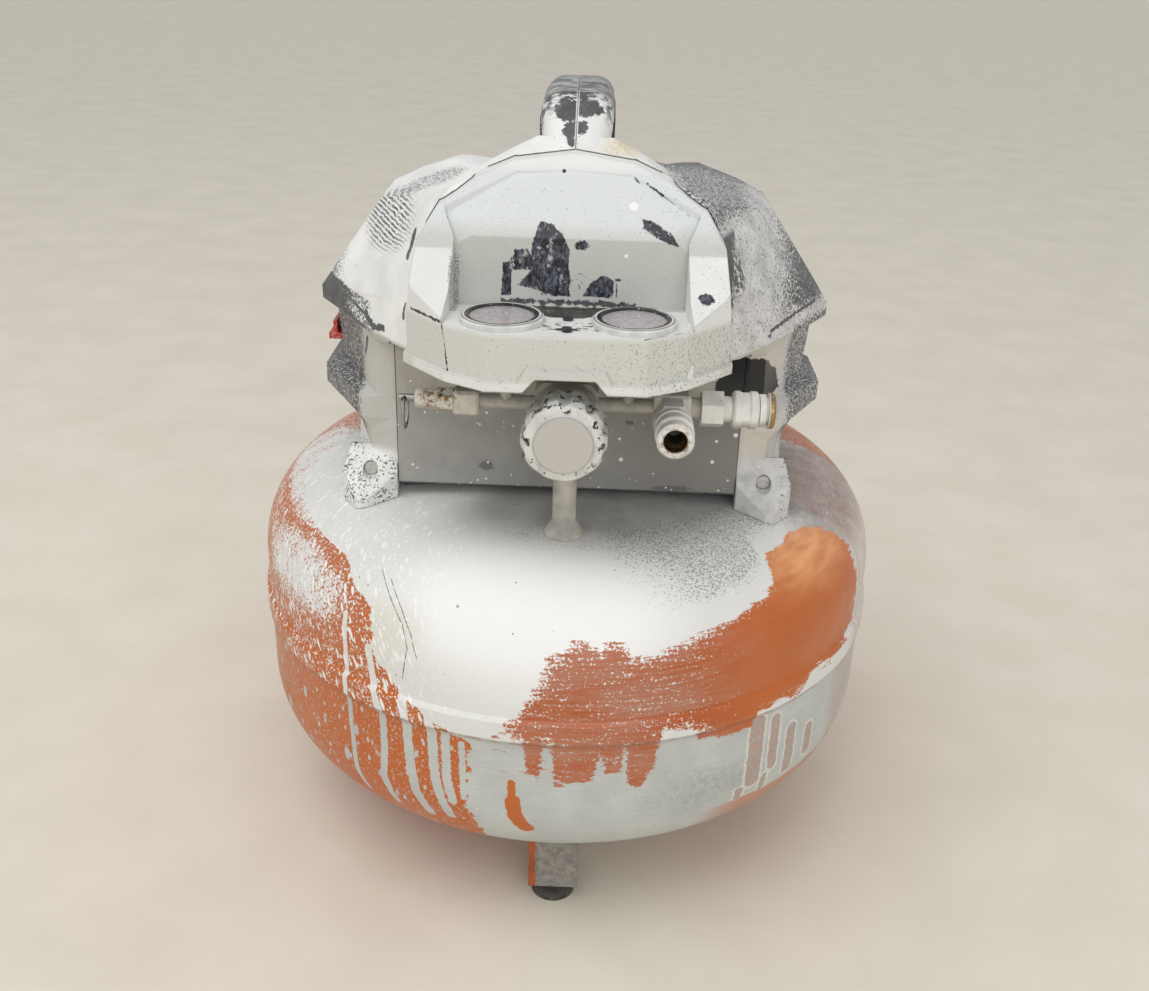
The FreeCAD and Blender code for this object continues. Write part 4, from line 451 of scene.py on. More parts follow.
def tank_upper_paint():
    """Crown and shoulder: soft white spray, pepper on the right, ticks over orange on the left."""
    f = TankFinish("tank_upper_paint")
    is_left, is_right, is_rear, depth = tank_orange(f)

    # Spray that lies over the orange as grains and ticks
    drift = f.noise(16, 4, 0.6, (0.8, 1.4, 1))
    haze = f.patch(-54, 208, 58, 27, 0.9)
    crown_haze = f.where(level=(222, 252), turn=(-30, -50))
    trail = f.stroke([(-64, 232), (-55, 241), (-44, 242), (-40, 231), (-38.6, 219)], 2.6, 4, 4)
    crown_haze = f.times(crown_haze, f.blend(0.55, 0.84, drift))
    left_cover = f.most(f.times(haze, f.blend(0.6, 0.95, drift)), crown_haze, f.blend(0.2, 0.42, drift))
    left_cover = f.blend(left_cover, 0.3, trail)
    tone, brushed = tank_enamel(f, is_right, f.times(haze, 0.5))
    rim = f.times(is_right, f.step(f.least(depth, 12), 11, 0))
    right_cover = f.scaled(brushed, 0.4, f.scaled(rim, 0.26, 0.03))
    rear_cover = f.blend(0.24, 0.5, f.times(f.step(f.level, 200, 320), f.noise(60, at=f.mm)))
    amount = f.blend(f.blend(rear_cover, right_cover, is_right), left_cover, f.step(f.turn, -6, -10))
    amount = f.blend(amount, rear_cover, f.step(f.size_of(f.turn), 92, 104))
    lean = f.add("ShaderNodeMapping", Vector=f.place, Rotation=(0, 0, -0.35)).outputs[0]
    ticks = f.most(f.dots(5.5, 0.5, 0.85, (0.55, 1.8, 1), lean), f.dots(2.6, 0.5, 0.7, (0.8, 1.4, 1), lean))
    runs = f.strokes(
        (1.9, 0.5, 5, [(-37.9, 200), (-37.6, 140)]),
        (2.5, 0.8, 5, [(-32.4, 184), (-31.4, 158), (-30, 140)]),
        (2.9, 0.8, 5, [(-25.8, 168), (-25, 140)]),
        (2.9, 0.8, 5, [(-20.8, 156), (-20.4, 140)]))
    bare = f.rest(f.most(is_left, is_right, is_rear))
    white = f.most(bare, f.speckle(amount), f.times(ticks, left_side(f)), runs)

    # Colours of the spray, with painted shade below the skirt
    soft_white = f.patch(-4, 232, 84, 62, 0.45)
    paint = f.mix(PAINT_PALE, PAINT_WHITE, f.most(soft_white, f.times(f.noise(25, at=f.mm), 0.25)))
    paint = f.mix(paint, PAINT_CREAM, f.patch(-28, 205, 18, 17, 0.7), 0.5)
    paint = f.mix(paint, (250, 250, 248), ticks, f.step(f.turn, -14, -26), 0.7)
    # Painted shade on the crown below the skirt, over a greyer mist of spray there
    shade = f.times(f.step(f.level, 286, 326), f.band(f.turn, -22, 80, 16))
    shade = f.times(shade, f.blend(0.75, 1, f.noise(14, 5, at=f.mm)))
    paint = f.mix(paint, (156, 154, 151), shade, 0.9)
    wide = f.times(f.band(f.turn, 14, 80, 14), f.band(f.level, 240, 312, 14))
    peppered = f.most(f.times(wide, 0.47), f.times(f.patch(62, 290, 60, 44, 0.4), 0.6),
                      f.times(f.patch(2, 310, 80, 30, 0.6), 0.36))
    halo = f.times(f.step(depth, -30, -9), f.step(f.level, 300, 262))
    pepper = f.speckle(f.times(peppered, f.rest(f.times(f.most(soft_white, halo), 0.7))), 1.1)
    paint = f.mix(paint, (120, 122, 122), pepper, 0.7)
    shoulder = f.times(f.band(f.turn, 60, 94, 10), f.step(f.level, 205, 240))
    mottled = f.blend(0.35, 0.9, f.noise(12, 5, 0.7, at=f.mm))
    paint = side_stain(f, f.mix(paint, (136, 126, 120), shoulder, mottled), 66)
    bruises = f.times(f.dots(20, 0.13, 0.3, at=f.mm, soft=0.7), f.step(f.level, 250, 290))
    paint = f.mix(paint, (116, 116, 116), bruises, 0.6)
    paint = tank_specks(f, paint)
    scratches = f.most(
        f.stroke([(-33.5, 243), (-29, 222), (-26, 208), (-24.6, 193), (-25.6, 172)], 0.32, 0.3, 3, 0.15),
        f.stroke([(-31, 239), (-26.8, 219), (-24.2, 203), (-22.8, 188)], 0.3, 0.3, 3, 0.15))
    paint = f.mix(paint, (96, 104, 110), scratches, 0.85)
    return tank_done(f, tone, paint, white, f.blend(0.5, 0.66, f.noise(9, at=f.mm)), tank_relief(f))


def tank_lower_paint():
    """Bowl under the seam: white runs over orange on the left, brushed grey white in front, ringed cells."""
    f = TankFinish("tank_lower_paint")
    is_left, is_right, is_rear, _ = tank_orange(f)
    tone, brushed = tank_enamel(f, is_right, 0)
    on_left = left_side(f)
    amount = f.blend(f.blend(0.25, f.scaled(brushed, 0.34, 0.05), is_right), 0.26, on_left)
    big_drops = f.most(f.dots(13, 0.36, 0.42, (0.8, 1.5, 1)), f.dots(5, 0.42, 0.6, (0.8, 1.3, 1)))
    splash = f.times(f.step(f.raw(8, 5, 0.65, (0.7, 1.5, 1)), 0.5, 0.6), f.step(f.turn, -40, -26))
    small_drops = f.times(f.dots(2.2, 0.3, 0.3), f.scaled(on_left, 0.9, 0.1))
    drops = f.most(f.times(f.most(big_drops, splash), on_left), small_drops)
    leg_drip = f.strokes(
        (2.3, 0.6, 4, [(-6.9, 117), (-6.7, 104)]),
        (4.6, 1, 5, [(-6.7, 104), (-5.9, 90), (-4.4, 80)]))
    bottom = f.times(f.torn(f.minus(83, f.level), 2, 9, stretch=(3.2, 1, 1)),
                     f.most(f.step(f.turn, -24, -34), f.times(f.step(f.turn, 24, 36), 0.8)))
    white = f.most(f.rest(f.most(is_left, is_right, is_rear)), f.speckle(amount), drops)
    white = f.times(white, f.rest(f.most(leg_drip, f.times(bottom, 0.85))))
    runs = f.strokes(
        (1.9, 0.5, 5, [(-37.6, 152), (-37.3, 126), (-36.6, 92), (-35, 74)]),
        (2.6, 0.8, 5, [(-31.4, 158), (-29.9, 141), (-29.9, 116), (-30.3, 100), (-28.5, 76)]),
        (3.2, 0.8, 5, [(-25.2, 150), (-24.8, 122), (-23.8, 97), (-21.5, 76)]),
        (3.1, 0.8, 5, [(-20.5, 152), (-20.2, 120), (-19.6, 104), (-17.6, 80)]),
        (2.8, 0.8, 5, [(-18, 146), (-17.9, 112), (-16.9, 96)]),
        (2, 0.8, 5, [(-15.2, 138), (-15, 112), (-14.9, 101)]))
    ticked = f.step(f.raw(3.4, 5, 0.7, (6, 0.5, 1)), 0.42, 0.62)
    ticked = f.times(ticked, f.patch(-5.5, 133, 28, 11, 0.5), 0.85)
    white = f.times(f.most(white, runs), f.rest(ticked))

    # Colours of the spray, with brush lines, moss and the ringed cells on the right
    paint = f.mix((204, 207, 202), (188, 191, 188), f.noise(25, 4, at=f.mm))
    lines = f.noise(1.6, 5, 0.65, (22, 0.7, 1))
    paint = f.mix(paint, (162, 164, 160), lines, 0.34)
    moss = f.times(f.patch(26, 104, 34, 14, 0.7), f.noise(4, 6, 0.75), 0.55)
    paint = side_stain(f, f.mix(paint, (128, 130, 122), moss), 60)
    inner = f.mix((158, 150, 146), (190, 134, 112), f.noise(8, 5, 0.7))
    wobble = f.times(f.raw(6, 5, 0.7), 1.3)
    ring = 0
    cell = 0
    for degrees, low, high, half in [(35.8, 98, 139, 6.6), (40.1, 104, 136, 4.8), (44.6, 92, 122, 5.2),
                                     (50.2, 97, 113, 5.2), (38.6, 84, 96, 3.4), (33.2, 86, 92, 4)]:
        near = f.plus(f.gap(f.spot(degrees, low), f.spot(degrees, high)), wobble)
        ring = f.most(f.band(near, half - 0.7, half + 0.4, 0.6), ring)
        cell = f.most(f.step(near, half, half - 1), cell)
    paint = f.mix(paint, inner, cell, f.blend(0.5, 0.95, f.noise(3, 4, 0.7)))
    paint = f.mix(paint, (218, 222, 214), ring, 0.75)
    relief = f.plus(tank_relief(f), f.times(lines, 0.3))
    return tank_done(f, tone, tank_specks(f, paint), white, f.blend(0.36, 0.5, lines), relief)


def leg_paint():
    """Front leg: grey spray in specks, darkened as painted shade, with orange down its left side and along
    its edges.
    """
    f = Finish("leg_paint")
    rounded = f.rounded(0.9)
    strip = f.torn(f.minus(leg_left, f.x), 2.4, 7)
    behind = f.torn(f.minus(f.y, leg_front), 2, 9)
    orange = f.most(strip, behind, f.times(f.edges(rounded), f.step(f.raw(3), -0.1, 0.3)))
    cover = f.most(f.rest(orange), f.speckle(0.2, 1.6))
    tone = f.mix(ORANGE_RED, shaded(ORANGE_RED, 0.6), f.noise(12, 5))
    # Grey spray, its tone darkened as painted shade on the leg's front
    paint = f.mix((158, 154, 146), (96, 92, 86), f.noise(5, 6, 0.75), 0.9)
    paint = f.mix(paint, (84, 80, 78), f.dots(4, 0.2, 0.4))
    height = f.plus(f.times(cover, 0.6), f.times(f.noise(1.4, 4), 0.4))
    return f.done(f.mix(tone, paint, cover), f.blend(0.35, 0.6, cover), f.bump(height, 0.7, 0.25, rounded))


def painted_plastic(f, cover, paint, bare=CHARCOAL, wear=0.75, clean=0):
    """Spray over dark moulded plastic: cover says where it lies; it is rubbed through along the edges."""
    rounded = f.rounded(1)
    rub = f.times(f.edges(rounded, 0.03, 0.25), f.step(f.raw(5, 6, 0.7), 0.05, 0.4))
    cover = f.times(cover, f.rest(f.times(rub, wear)))
    dusty = f.mix(bare, shaded(bare, 1.9, 0.02), f.noise(7, 6, 0.7))
    dusty = f.mix(dusty, PAINT_PALE, f.dots(3.2, 0.22, 0.3), 0.7)
    dusty = f.mix(dusty, NEAR_BLACK, clean)
    pins = f.pins((3.6, 0.13, 0.4), (14, 0.06, 0.5), 0.9)
    paint = f.mix(paint, (86, 86, 85), pins, 0.75)
    flecks = f.dots(9, 0.11, 0.35)
    paint = f.mix(paint, (243, 243, 241), flecks)
    height = f.plus(f.times(f.noise(0.9), 0.4), f.times(flecks, 0.5))
    rough = f.blend(f.blend(0.36, 0.52, f.noise(10)), f.blend(0.52, 0.68, f.noise(8)), cover)
    rough = f.blend(rough, 0.22, f.times(clean, 0.8))
    return f.done(f.mix(dusty, paint, cover), rough, f.bump(height, 0.6, 0.22, rounded))


def handle_kept(f):
    """1 where spray is left on the handle, 0 where the hand has rubbed it off the crown."""
    smear = f.raw(5, 5, 0.7, (3, 1, 1))
    rubbed = f.times(f.step(f.y, -78, -64), f.step(f.z, 440, 450), f.step(smear, -0.15, 0.2))
    patches = f.chips(
        ((-5, -72, 466), (7.5, 7.5, 9), 0.45, 4),
        ((6.5, -71, 467), (8, 5.5, 8), 0.55, 3.5),
        ((-2.5, -83.5, 457), (4.5, 6, 7), 0.6, 3),
        ((2.6, -82, 459), (3.6, 4.5, 5), 0.6, 3),
        ((-2, -90, 451), (2.6, 3.4, 3.5), 0.5, 2.5))
    seam = f.step(f.size_of(f.x), 1, 0.5)
    return f.rest(f.times(f.most(rubbed, patches), f.rest(seam)))


def shroud_done(f, cover, paint, clean=0):
    """A shroud half's material, with the handle's rubbed crown under grey, half rubbed spray."""
    crown = f.where(y=(-70, -58), z=(438, 450))
    streak = f.noise(4, 5, 0.7, (4, 1, 1))
    paint = f.mix(paint, (138, 138, 137), crown, f.blend(0.55, 1, streak))
    return painted_plastic(f, f.times(cover, handle_kept(f)), paint, SHROUD_BARE, clean=clean)


def left_shroud_paint():
    """White spray in front with a ridged run, thinning out to bare plastic at the rim and the back."""
    f = Finish("left_shroud_paint")
    rim = f.times(f.step(f.x, -124, -147), f.band(f.z, 346, 412, 6))
    strip = f.times(f.band(f.z, 340, 358.5, 2), f.step(f.x, -108, -116))
    pillar = f.times(f.step(f.x, -117, -126), f.band(f.z, recess_low, recess_high, 7))
    crest = f.blob((-88, -38, 430), (48, 34, 26), 0.4)
    foot_edge = f.times(f.step(f.z, recess_low, 262), f.blend(0.3, 0.62, f.noise(9, 5, 0.7)))
    amount = f.minus(f.blend(0.31, 1.1, f.step(f.y, 62, -6)), f.times(rim, 0.62), f.times(strip, 0.6),
                     f.times(pillar, 0.72), f.times(crest, 0.55), foot_edge)
    ridges = f.math("SINE", f.plus(f.times(f.z, 3), f.times(f.raw(7, 4, 0.6), 1.6)))
    ridged = f.times(f.blob((-110, -60, 402), (36, 42, 15), 0.35),
                     f.step(f.raw(3, 5, 0.75, (3, 3, 0.6)), -0.7, 0.2), f.step(ridges, -0.35, 0.15))
    chips = f.strokes(
        (2.6, 0.9, 3, [(-84.2, -105.5, 405), (-86.4, -108.5, 398), (-88, -109, 393)]),
        (1.9, 1, 2.5, [(-118, -80, 352), (-111, -92, 347.5), (-103.5, -103.5, 350.5)]),
        (1.2, 0.6, 2.5, [(-88.5, -121, 370), (-89.5, -121, 362)]),
        (1.7, 0.7, 2.5, [(-119, -68, 333), (-121.5, -63, 323)]),
        (0.6, 0.5, 2.5, [(-122.5, -62, 320), (-127.5, -66, 301)]))
    rib_line = f.stroke([(-150, -23, 357.5), (-112, -90, 350)], 1.1, 1, 3)
    chips = f.most(chips, f.times(rib_line, f.step(f.x, -108, -112)))
    cover = f.times(f.speckle(amount), f.rest(ridged), f.rest(chips))
    paint = f.mix((246, 246, 243), (224, 225, 221), f.noise(26, 5))
    paint = f.mix(paint, (176, 172, 162), f.band(f.z, recess_low, recess_high, 7), 0.7)
    return shroud_done(f, cover, paint)


def bare_corner(f):
    """Clean black patch above the side coupler, on the right shroud and the skirt's corner."""
    outline = [(83.5, 308), (85, 319), (94, 335), (111, 333.5), (121, 322), (125, 308)]
    facing = f.band(f.y, -112, -58, 2)
    return f.times(f.torn(f.inside(f.x, f.z, outline), 1.6, 7, 0.3), facing)


def right_shroud_paint():
    """Half rubbed grey spray, thicker at the handle's neck and the front pillar; torn chips at the seam."""
    f = Finish("right_shroud_paint")
    front = f.step(f.y, 10, -30)
    upper = f.where(x=(40, 62), z=(350, 362))
    outer = f.times(upper, f.step(f.x, 108, 142))
    crest = f.times(upper, f.step(f.z, 408, 418))
    neck = f.times(f.step(f.x, 56, 34), f.step(f.z, 400, 420), front)
    pillar = f.times(f.step(f.z, 348, 342), f.step(f.x, 128, 122), front)
    recess = f.times(f.band(f.z, recess_low, recess_high + 3, 7), f.step(f.x, 127, 132))
    amount = f.minus(f.blend(0.31, 0.72, f.step(f.y, 62, -6)), f.times(outer, 0.48), f.times(crest, 0.26))
    amount = f.minus(f.plus(amount, f.times(f.most(neck, pillar), 0.55)), f.times(recess, 0.3))
    seam_chips = f.times(f.torn(f.minus(86, f.x), 2.6, 4), f.band(f.z, 366, 408, 3))
    flaked = f.times(f.blob((88.5, -111, 391), (8, 14, 13), 0.35),
                     f.step(f.raw(3.2, 4, 0.65), -0.1, 0))
    lines = f.strokes(
        (2.4, 1.6, 3, [(79, -99, 424), (77.5, -97, 418)]),
        (1.2, 1.2, 3, [(150, -28, 357), (112, -88, 352)]),
        (1, 0.5, 3, [(104, -96, 349), (116, -88, 350.5)]))
    bare_patch = bare_corner(f)
    cover = f.times(f.speckle(amount), f.rest(f.most(seam_chips, flaked, lines)), f.rest(bare_patch))
    paint = f.mix((226, 225, 222), (182, 181, 179), f.noise(14, 6, 0.7))
    light = f.step(f.raw(2.6, 4, 0.65, (6, 6, 1)), 0.55, 0.8)
    paint = f.mix(paint, (226, 225, 222), light, 0.5)
    paint = f.mix(paint, (229, 229, 226), neck)
    paint = f.mix(paint, (206, 200, 188), pillar, f.step(f.z, 264, 276), 0.85)
    stain = f.times(f.blob((24, -88, 449), (9, 9, 8), 0.6), f.noise(3, 5, 0.7))
    return shroud_done(f, cover, f.mix(paint, (206, 190, 140), stain), bare_patch)


def grip_rubber():
    """Pebbled grips: the left one half covered in spray, the right one nearly black."""
    f = Finish("grip_rubber")
    pebble = f.add("ShaderNodeTexVoronoi", Vector=f.mm, Scale=0.55).outputs["Distance"]
    pebble = f.step(pebble, 0.15, 0.6)
    amount = f.blend(0.52, 0.2, f.step(f.x, -2, 2))
    cover = f.speckle(f.scaled(pebble, -0.16, amount), 1, 0.4)
    tone = f.mix(NEAR_BLACK, CHARCOAL, f.noise(6, 5, 0.7))
    colour = f.mix(tone, (176, 176, 174), cover)
    return f.done(colour, f.blend(0.7, 0.58, cover), f.bump(pebble, 0.9, 0.35, f.rounded(0.8)))


def wall_chips(f, on_wall):
    """Dark plastic showing on the back wall of the pocket over the gauges."""
    outlines = [
        (1.1, 3.5, [(-17.5, 415.5), (-15.5, 417.5), (-11, 417), (-4, 412), (-1, 405.5), (-0.5, 393), (0, 380),
         (-10, 380), (-20, 393), (-20.5, 406.5)]),
        (1, 3.5, [(-27, 385.5), (-19.5, 394), (-9, 386), (-9, 380.5)]),
        (0.7, 3, [(-35, 397), (-30.5, 397.5), (-30.5, 380), (-36, 379.5)]),
        (1.4, 3.5, [(-31, 398), (-29, 403), (-23, 404.5), (-19.5, 400), (-19.5, 394), (-31, 393.5)]),
        (0.8, 3, [(6.5, 380.5), (10, 387), (15.5, 392), (19, 391.5), (22.5, 389), (22.5, 380)]),
        (1.2, 2.5, [(36.3, 415.8), (36.5, 419.8), (40, 420.2), (51.5, 413.5), (56, 408), (49, 410)])]
    large = (f.torn(f.inside(f.x, f.z, corners), tear, size, 0.25) for tear, size, corners in outlines)
    small = f.chips(
        ((5.2, pocket_back, 407), (3.6, 5, 2.4), 0.5, 2.5),
        ((24.8, pocket_back, 389.7), (1.7, 5, 0.8), 0.3, 2))
    line = f.stroke([(24, pocket_back, 388), (24.3, pocket_back, 380.5)], 0.35, 0.3, 2)
    patchy = f.times(f.band(f.x, -20, 8.5, 1), f.band(f.z, 381, 392, 1),
                     f.step(f.raw(3, 6, 0.7), 0.25, 0.4), 0.9)
    holes = f.step(f.raw(3, 6, 0.8, (1, 1, 1.6)), 0.3, 0.42)
    return f.times(f.most(*large, small, line, patchy), on_wall, f.rest(f.times(holes, 0.85)))


def deck_chips(f, on_deck):
    """Dark plastic showing on the deck between the gauges, in a broken plate and a smaller patch."""
    plate = [(-24, -133), (33, -133), (16, -147), (7, -153), (-9, -153), (-15, -147)]
    plate = f.times(f.torn(f.inside(f.x, f.y, plate), 1.6, 4, 0.3),
                    f.step(f.raw(3.4, 5, 0.7, (2.6, 1, 1)), -0.8, -0.45))
    lower = f.times(f.torn(f.inside(f.x, f.y, [(-14, -160), (14, -160), (16, -174), (-16, -174)]), 2, 4, 0.3),
                    f.step(f.raw(3, 5, 0.7, (2.2, 1, 1)), 0.1, 0.35))
    return f.times(f.most(plate, lower, f.chip((0, -172, console_deck), (6, 2.6, 3), 0.4, 2.5)), on_deck)


def crease_chips(f):
    """Hairlines at the console's creases and chips on its rims."""
    lines = f.strokes(
        (0.7, 0.8, 2.5, [(-80.7, -148.8, 376), (-74, -156, 375.8), (-62.5, -168.8, 375.4)]),
        (0.6, 0.6, 2.5, [(-62.5, -168.8, 375), (-60.5, -171, 362), (-59.7, -172.2, 352)]),
        (0.25, 0.15, 3, [(-40.9, -184.5, 374), (-40.9, -185, 350)]),
        (0.25, 0.15, 3, [(41.3, -184.5, 374), (41.3, -185, 352)]),
        (0.35, 0.7, 4, [(-79.4, -151, 348.6), (-40, -185.5, 349)]),
        (0.3, 0.5, 4, [(38, -184, 375), (62, -168, 375.2)]),
        (0.7, 0.8, 2.5, [(-62, -142, 392), (-62, -150, 382)]),
        (0.6, 0.5, 2, [(32, -112, 438.5), (34, -114, 434.5)]),
        (0.6, 0.6, 2, [(38, -114, 436), (46, -116.5, 431)]),
        (0.22, 0.3, 3, [(46, -116.5, 431), (60, -121, 422)]))
    chips = f.chips(
        ((69.5, -150.5, 386.5), (4, 4, 2.6), 0.5, 2.5),
        ((62.6, -134, 401), (0.9, 2, 1.2), 0.3, 2),
        ((-5.2, -111.2, 440.8), (0.9, 1.2, 1), 0.3, 2))
    return f.most(lines, chips)


def console_spray(f, on_wall):
    """Colours of the console's spray, thinner and peppered in places, with blots, a pale smear and painted
    shade on the leaning panel.
    """
    fascia = f.step(f.z, fascia_top, fascia_top - 4)
    side_wall = f.times(f.band(f.x, -61.8, -58, 0.6), f.step(f.y, -150, -146), f.step(f.z, 412, 396))
    thin = f.most(f.times(side_wall, 0.5), f.times(f.step(f.x, -10, 60), 0.2), f.times(on_wall, 0.18),
                  f.times(fascia, f.blend(0.18, 0.32, f.step(f.x, -20, 70))))
    paint = f.mix((233, 234, 231), (214, 215, 211), f.noise(30, 5), 0.6)
    # Painted shade on the leaning panel of the pocket
    leaning_painted_shade = f.times(f.step(f.z, 404, 414), f.step(f.y, -131, -128.5), f.step(f.y, -109, -112.5))
    paint = f.mix(paint, (217, 221, 220), leaning_painted_shade)
    paint = f.mix(paint, (198, 199, 193), on_wall, f.step(f.z, 420, 408))
    paint = f.mix(paint, (206, 206, 197), fascia, 0.9)
    paint = f.mix(paint, (226, 226, 220), f.where(z=(352, 350), y=(-150, -156)))
    paint = f.mix(paint, (116, 116, 114), f.speckle(thin, 1.1), 0.75)
    smear = f.stroke([(57, -128, 418), (61, -150, 392), (62.5, -169, 352)], 1.8, 0.8, 8)
    paint = f.mix(paint, (238, 239, 236), smear, 0.85)
    blots = f.chips(
        ((31.4, -121, 426), (2.3, 3, 2.3), 0.1, 2),
        ((28.4, pocket_back, 402.5), (1, 2, 1), 0.1, 2))
    paint = f.mix(paint, DROP_WHITE, blots)
    pins = f.pins((4.5, 0.1, 0.4), (16, 0.05, 0.5), 0.9)
    return f.mix(paint, (84, 84, 82), pins, 0.8)


def console_paint():
    """White spray on the console, rubbed through to dark plastic on the back wall and the deck."""
    f = Finish("console_paint")
    on_wall = f.band(f.y, pocket_back - 4, pocket_back + 14, 1)
    on_deck = f.step(f.size_of(f.minus(f.z, console_deck)), 1.6, 0.8)
    foot = [(-36, pocket_back - 0.5, 376.5), (33, pocket_back - 0.5, 376.5)]
    foot_line = f.times(f.stroke(foot, 1.3, 1.6, 3), 0.9)
    cover = f.rest(f.most(wall_chips(f, on_wall), deck_chips(f, on_deck), foot_line, crease_chips(f)))
    rounded = f.rounded(1.2)
    rub = f.times(f.edges(rounded, 0.03, 0.25), f.step(f.raw(6, 6, 0.7), 0.42, 0.62))
    cover = f.times(cover, f.rest(rub))

    cloud = f.step(f.raw(2.6, 6, 0.78, (0.8, 1, 1.8)), -0.3, 0.7)
    bare = f.mix((17, 18, 26), SLATE, cloud, f.blend(0.35, 0.85, f.step(f.z, 412, 398)))
    bare = f.mix(bare, (58, 56, 52), on_deck)
    bare = f.mix(bare, (150, 150, 146), on_deck, f.step(f.raw(2.4, 6, 0.75), 0.35, 0.6))
    flecks = f.dots(9, 0.1, 0.4)
    paint = f.mix(console_spray(f, on_wall), DROP_WHITE, flecks)
    height = f.plus(f.times(f.noise(1), 0.3), f.times(flecks, 0.5))
    rough = f.blend(f.blend(0.3, 0.5, cloud), f.blend(0.5, 0.64, f.noise(8)), cover)
    return f.done(f.mix(bare, paint, cover), rough, f.bump(height, 0.6, 0.25, rounded))


def skirt_paint():
    """Panel behind the air line: thin grey spray with pale flecks and a few smudges, and painted shade below
    its bend.
    """
    f = Finish("skirt_paint")
    # Painted shade: darker grey below the panel's bend
    paint = f.mix((200, 193, 180), (162, 161, 156), f.step(f.z, 330, 285))
    low_right = f.times(f.step(f.x, 0, 70), f.step(f.z, 320, 295), 0.7)
    paint = f.mix(paint, (118, 114, 108), low_right)
    paint = f.mix(paint, (136, 135, 130), f.noise(16, 6, 0.65), 0.45)
    smudges = f.chips(
        ((-48, -85, 262), (4.5, 5, 3), 0.5, 2.5),
        ((-24, -85, 269), (3, 5, 2.2), 0.5, 2.5),
        ((62, -86, 251.5), (12, 5, 1.8), 0.5, 2.5),
        ((36, -85, 292), (2.4, 5, 1.6), 0.5, 2.5))
    paint = f.mix(paint, (96, 94, 92), smudges, 0.75)
    flecks = f.most(f.dots(4, 0.24, 0.5), f.dots(11, 0.16, 0.7))
    paint = f.mix(paint, (236, 236, 232), flecks)
    patch = bare_corner(f)
    cover = f.times(f.rest(patch), f.step(f.z, skirt_foot - 0.5, skirt_foot + 0.5))
    return painted_plastic(f, cover, paint, wear=0.5, clean=patch)


def fitting_paint(name, light, shade, rust_at=None):
    """Brass and steel fittings under cream and white spray, bare at some edges and in the coupler's mouth,
    with painted shade on their undersides.
    """
    f = Finish(name)
    rounded = f.rounded(0.6)
    rub = f.times(f.edges(rounded, 0.05, 0.35), f.step(f.raw(3, 5, 0.7), 0.28, 0.5))
    bore = f.blob(coupler_mouth, (coupler_bore_radius, 26, coupler_bore_radius), 0.04)
    bare = f.most(rub, bore, f.step(f.x, side_coupler_end - 0.4, side_coupler_end + 0.4))
    tone = f.mix((112, 104, 92), BRASS, f.noise(3, 4))
    tone = f.mix(tone, (46, 38, 30), bore, 0.8)
    if rust_at is not None:
        rusty = f.times(f.blob(*rust_at), f.step(f.raw(3.2, 6, 0.75), -0.1, 0.35))
        bare = f.most(bare, rusty)
        tone = f.mix(tone, RUST, rusty, 0.65)
    paint = f.mix(light, shade, f.noise(10, 5))
    # Painted shade: undersides darker
    normal = f.add("ShaderNodeNewGeometry").outputs["Normal"]
    under = f.step(f.add("ShaderNodeSeparateXYZ", Vector=normal).outputs[2], -0.1, -0.7)
    paint = f.mix(paint, (150, 146, 138), under, 0.7)
    paint = f.mix(paint, (120, 108, 92), f.dots(4, 0.14, 0.35))
    height = f.plus(f.times(f.rest(bare), 0.6), f.times(f.noise(1.3, 4), 0.4))
    rough = f.blend(f.blend(0.46, 0.62, f.noise(6)), 0.36, bare)
    return f.done(f.mix(paint, tone, bare), rough, f.bump(height, 0.7, 0.2, rounded), f.times(bare, 0.75))


def screw_paint():
    """Small case screws: dark in the console's deck, painted over lower down."""
    f = Finish("screw_paint")
    dark = f.torn(f.minus(f.z, low_screws_top), 1, 3)
    paint = f.mix((206, 205, 198), (176, 175, 169), f.noise(3, 5))
    tone = f.mix(NEAR_BLACK, CHARCOAL, f.noise(2, 4))
    bump = f.bump(f.noise(0.8), 0.5, 0.15, f.rounded(0.4))
    return f.done(f.mix(paint, tone, dark), f.blend(0.58, 0.4, dark), bump)


def knob_paint():
    """Ribbed knob: white spray, black plastic showing on the lobes, a ring scored in its face."""
    f = Finish("knob_paint")
    reach = f.reach(f.minus(f.x, knob_x), f.minus(f.z, knob_height))
    on_rim = f.step(reach, knob_ring_radius + 0.6, knob_ring_radius + 2.5)
    chips = f.times(on_rim, f.step(f.raw(5.5, 6, 0.72), 0.2, 0.34))
    lines = f.step(f.raw(1.7, 5, 0.7, (1, 1, 4)), 0.72, 0.95)
    lines = f.times(lines, f.step(reach, knob_ring_radius, knob_ring_radius - 2.5))
    ring = f.band(reach, knob_ring_radius, knob_ring_radius + 0.5, 0.35)
    paint = f.mix((224, 224, 218), (196, 196, 190), f.noise(7, 5))
    paint = f.mix(paint, (192, 188, 180), f.step(reach, knob_ring_radius + 0.2, knob_ring_radius - 0.4))
    paint = f.mix(paint, (138, 138, 132), f.most(lines, f.times(ring, 0.8)), 0.7)
    paint = f.mix(paint, (196, 184, 150), f.step(f.raw(4, 5, 0.7), 0.5, 0.8), 0.35)
    tone = f.mix((18, 18, 19), CHARCOAL, f.noise(2, 4))
    rounded = f.rounded(0.7)
    rub = f.times(f.edges(rounded, 0.1, 0.4), f.step(f.raw(3, 5, 0.7), 0.15, 0.4))
    bare = f.most(chips, f.times(rub, on_rim))
    height = f.plus(f.times(f.rest(bare), 0.7), f.times(f.noise(1, 4), 0.3))
    return f.done(f.mix(paint, tone, bare), f.blend(0.5, 0.32, bare), f.bump(height, 0.6, 0.25, rounded))


def from_gauge(f):
    """Place across and along from the nearer gauge's axis."""
    return f.minus(f.size_of(f.x), gauge_x), f.minus(f.y, gauge_y)


